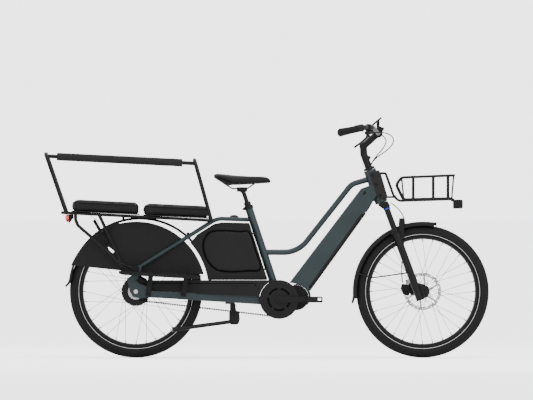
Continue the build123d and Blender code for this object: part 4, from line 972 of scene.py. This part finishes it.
def moved_out(loop, distance):
    """A closed side-view loop moved along its own normal, outwards for a clockwise or other loop."""
    along = np.roll(loop, -1, 0) - np.roll(loop, 1, 0)
    normal = np.stack([along[:, 1], -along[:, 0]], 1)
    normal /= np.linalg.norm(normal, axis=1)[:, None]
    inwards = ((loop - loop.mean(0)) * normal).sum() < 0
    return loop + (-distance if inwards else distance) * normal


def side_sheet(rings, heights, side):
    """Side-view rings (x, z) at heights away from the mid-plane, on the right (-1) or left (1)."""
    return shell(np.stack([np.column_stack([ring[:, 0], np.full(len(ring), side * h), ring[:, 1]])
                           for ring, h in zip(rings, heights)]))


PAD_LOOP = smooth_loop(np.array([(-84, 591), (-130, 596), (-200, 600), (-262, 595), (-292, 562), (-297, 520),
                                 (-282, 470), (-243, 426), (-185, 412), (-90, 415), (-32, 425), (-56, 510)])
                       / 1000.0)
PAD_STEPS = [(0.0, 0.0449), (0.0, 0.0470), (0.0006, 0.0488), (0.0022, 0.0508), (0.0046, 0.0521),
             (0.0080, 0.0527)]
for side, tag in ((-1, "right"), (1, "left")):
    rings = [moved_out(PAD_LOOP, -inset) for inset, _ in PAD_STEPS]
    middle = PAD_LOOP.mean(0)
    rings += [middle + (rings[-1] - middle) * share for share in (0.9, 0.6, 0.3)]
    heights = [height for _, height in PAD_STEPS] + [0.0528, 0.0528, 0.0528]
    pad = put_mesh("cover_pad_" + tag, *side_sheet(rings, heights, side), FINISH["black_plastic"])
    weld(pad)
    dress(pad, "frame")
    # A near-black ring just outside the pad: painted shade of the groove round it.
    groove_shade_rings = [moved_out(PAD_LOOP, out) for out in (-0.001, -0.001, 0.0, 0.0065, 0.0075, 0.0075)]
    grid = np.stack([np.column_stack([ring[:, 0], np.full(len(ring), side * h), ring[:, 1]]) for ring, h in
                     zip(groove_shade_rings, (0.0447, 0.0455, 0.0458, 0.0455, 0.0452, 0.0447))])
    seam_and_groove_shade = put_mesh("cover_groove_shade_" + tag, *shell(grid.transpose(1, 0, 2), wrap_rows=True), FINISH["seam_and_groove_shade"])
    dress(seam_and_groove_shade, "frame")


# %% Trim lines: painted groove shade on the belt cover, seam lines on the battery's cover
def trim(name, path, half, proud, side_y, body, finish_name):
    """A flat strip along a side-view path, half wide each way, standing proud of the face at side_y."""
    path = np.asarray(path, float)
    along = np.gradient(path, axis=0)
    along /= np.linalg.norm(along, axis=1)[:, None]
    across = np.stack([-along[:, 1], along[:, 0]], 1)
    sign = math.copysign(1.0, side_y)
    section = [(-half, -0.0003), (-half * 0.9, proud * 0.8), (0.0, proud), (half * 0.9, proud * 0.8),
               (half, -0.0003)]
    grid = []
    for over, out in section:
        flat = path + over * across
        grid.append(np.column_stack([flat[:, 0], np.full(len(flat), side_y + sign * out), flat[:, 1]]))
    piece = put_mesh(name, *shell(np.array(grid).transpose(1, 0, 2)), FINISH[finish_name])
    return dress(piece, body)


# The belt cover's groove is a raised near-black strip: painted shade of the groove.
turn_in = np.radians(np.linspace(90.0, -10.0, 12))
groove = np.concatenate([[(-0.586, 0.3535), (-0.4, 0.3527), (-0.2, 0.3522)],
                         np.stack([-0.062 + 0.012 * np.cos(turn_in), 0.3400 + 0.012 * np.sin(turn_in)], 1)])
trim("belt_cover_line", groove, 0.0016, 0.0004, -0.066, "frame", "seam_and_groove_shade")

LOWER_FROM, LOWER_TO = np.array([0.195, 0.302]), np.array([0.482, 0.700])
TUBE_HALF, TUBE_EDGE = 0.037, 0.014
lower_way = (LOWER_TO - LOWER_FROM) / np.linalg.norm(LOWER_TO - LOWER_FROM)
lower_out = np.array([lower_way[1], -lower_way[0]])


def battery_cover():
    """The tube's lower face and its two rounded edges, 0.5 mm proud, from one end to the other."""
    bend = np.radians(np.linspace(4.0, 90.0, 8))
    outer = [(TUBE_HALF - TUBE_EDGE + (TUBE_EDGE + 0.0005) * math.cos(a),
              -TUBE_EDGE + (TUBE_EDGE + 0.0005) * math.sin(a)) for a in bend]
    inner = [(TUBE_HALF - TUBE_EDGE + (TUBE_EDGE - 0.0006) * math.cos(a),
              -TUBE_EDGE + (TUBE_EDGE - 0.0006) * math.sin(a)) for a in bend]
    section = np.array(outer + [(-y, w) for y, w in outer[::-1]] + [(-y, w) for y, w in inner] + inner[::-1])
    rows = []
    for u in np.linspace(0.030, 0.462, 14):
        place = LOWER_FROM + u * lower_way
        flat = place + section[:, 1, None] * lower_out
        rows.append(np.column_stack([flat[:, 0], section[:, 0], flat[:, 1]]))
    return shell(np.array(rows))


# Near-black strip on the down tube's lower face and edges: painted shade under the tube.
battery_shade_piece = put_mesh("battery_cover", *battery_cover(), FINISH["black_plastic"])
dress(battery_shade_piece, "frame")
for side, tag in ((-1, "right"), (1, "left")):
    line = np.array([LOWER_FROM + u * lower_way - 0.0155 * lower_out for u in np.linspace(0.032, 0.460, 8)])
    trim("battery_line_" + tag, line, 0.0011, 0.0003, side * TUBE_HALF, "frame", "seam_and_groove_shade")

# %% [markdown]
# ## Belt lugs and mudguard flaps
# The drive belt's lugs stand out on both faces of its free lower run, one every 11 mm. Each mudguard
# ends in a soft flap that flares away from the tyre.

# %% Lugs of the lower belt run
RUN_FROM, RUN_TO = np.array([-0.6247, 0.2743]), np.array([0.0504, 0.1951])
run_way = (RUN_TO - RUN_FROM) / np.linalg.norm(RUN_TO - RUN_FROM)
run_up = np.array([-run_way[1], run_way[0]])
BELT_PITCH = 0.011
parts = []
for number in range(3, 59):
    place = RUN_FROM + (number + 0.5) * BELT_PITCH * run_way
    loop = rounded_loop(0.0068, 0.0092, 0.0024, 20)
    rows = []
    for share, y in ((0.86, -0.0562), (1.0, -0.0554), (1.0, -0.0446), (0.86, -0.0438)):
        ring = place + share * (loop[:, :1] * run_way + loop[:, 1:] * run_up)
        rows.append(np.column_stack([ring[:, 0], np.full(20, y), ring[:, 1]]))
    parts.append(shell(np.array(rows)))
lugs = put_mesh("belt_lugs", *join(parts), FINISH["rubber"])
dress(lugs, "frame")


# %% Mudguard flaps
def flap(name, path, half, body):
    """A sheet 1.8 mm thick whose edges curl 15 mm towards the tyre and whose tip narrows."""
    path = np.asarray(path, float)
    along = np.gradient(path, axis=0)
    along /= np.linalg.norm(along, axis=1)[:, None]
    out = np.stack([-along[:, 1], along[:, 0]], 1)
    width = half * np.linspace(1.0, 0.72, len(path))
    over = np.linspace(-1.0, 1.0, 13)
    rows = []
    for place, normal, wide in zip(path, out, width):
        deep = 0.015 * (wide / half) ** 2
        top = [(s * wide, 0.0009 + deep * s ** 4) for s in over]
        low = [(s * wide, -0.0009 + deep * s ** 4) for s in over[::-1]]
        rows.append([(place[0] + h * normal[0], y, place[1] + h * normal[1]) for y, h in top + low])
    return dress(put_mesh(name, *shell(np.array(rows)), FINISH["rubber"]), body)


flap("rear_flap", [(-0.9300, 0.400), (-0.9325, 0.385), (-0.9365, 0.370), (-0.9450, 0.355), (-0.9580, 0.340)],
     0.030, "frame")
flap("front_flap_low", [(0.4140, 0.350), (0.4120, 0.325), (0.4105, 0.300), (0.4085, 0.280), (0.4040, 0.260)],
     0.028, "fork_slider")
flap("front_flap_high", [(0.8080, 0.6425), (0.7940, 0.6425), (0.7800, 0.6435), (0.7660, 0.6450)], 0.028,
     "fork_slider")

# %% [markdown]
# ## The studio floor
# The CAD model owns the size. The last cell lays a wide round floor under the bicycle.

# %% Close the scene
floor_material, floor_nodes, floor_links, floor_shader = node_tree("studio_floor")
floor_place = place_node(floor_nodes, floor_links)
floor_noise = noise_node(floor_nodes, floor_links, floor_place, 3.0)
floor_links.new(ramp_node(floor_nodes, floor_links, floor_noise, [(0.3, (0.86, 0.86, 0.86)),
                (0.7, (0.88, 0.88, 0.88))]), floor_shader.inputs["Base Color"])
floor_shader.inputs["Roughness"].default_value = 0.9
floor_shader.inputs["Emission Color"].default_value = (1.0, 1.0, 1.0, 1.0)
floor_links.new(seen_by_camera(floor_nodes, floor_links, 0.0, 0.5), floor_shader.inputs["Emission Strength"])
floor_ring = np.linspace(0.0, 2.0 * np.pi, 96, endpoint=False)
floor_grid = np.array([0.0, 3.0, 400.0])[:, None, None] * np.stack(
    [np.cos(floor_ring), np.sin(floor_ring), 0 * floor_ring], 1)[None]
studio_floor = put_mesh("studio_floor", floor_grid.reshape(-1, 3), grid_faces(3, 96, False, True),
                        floor_material)
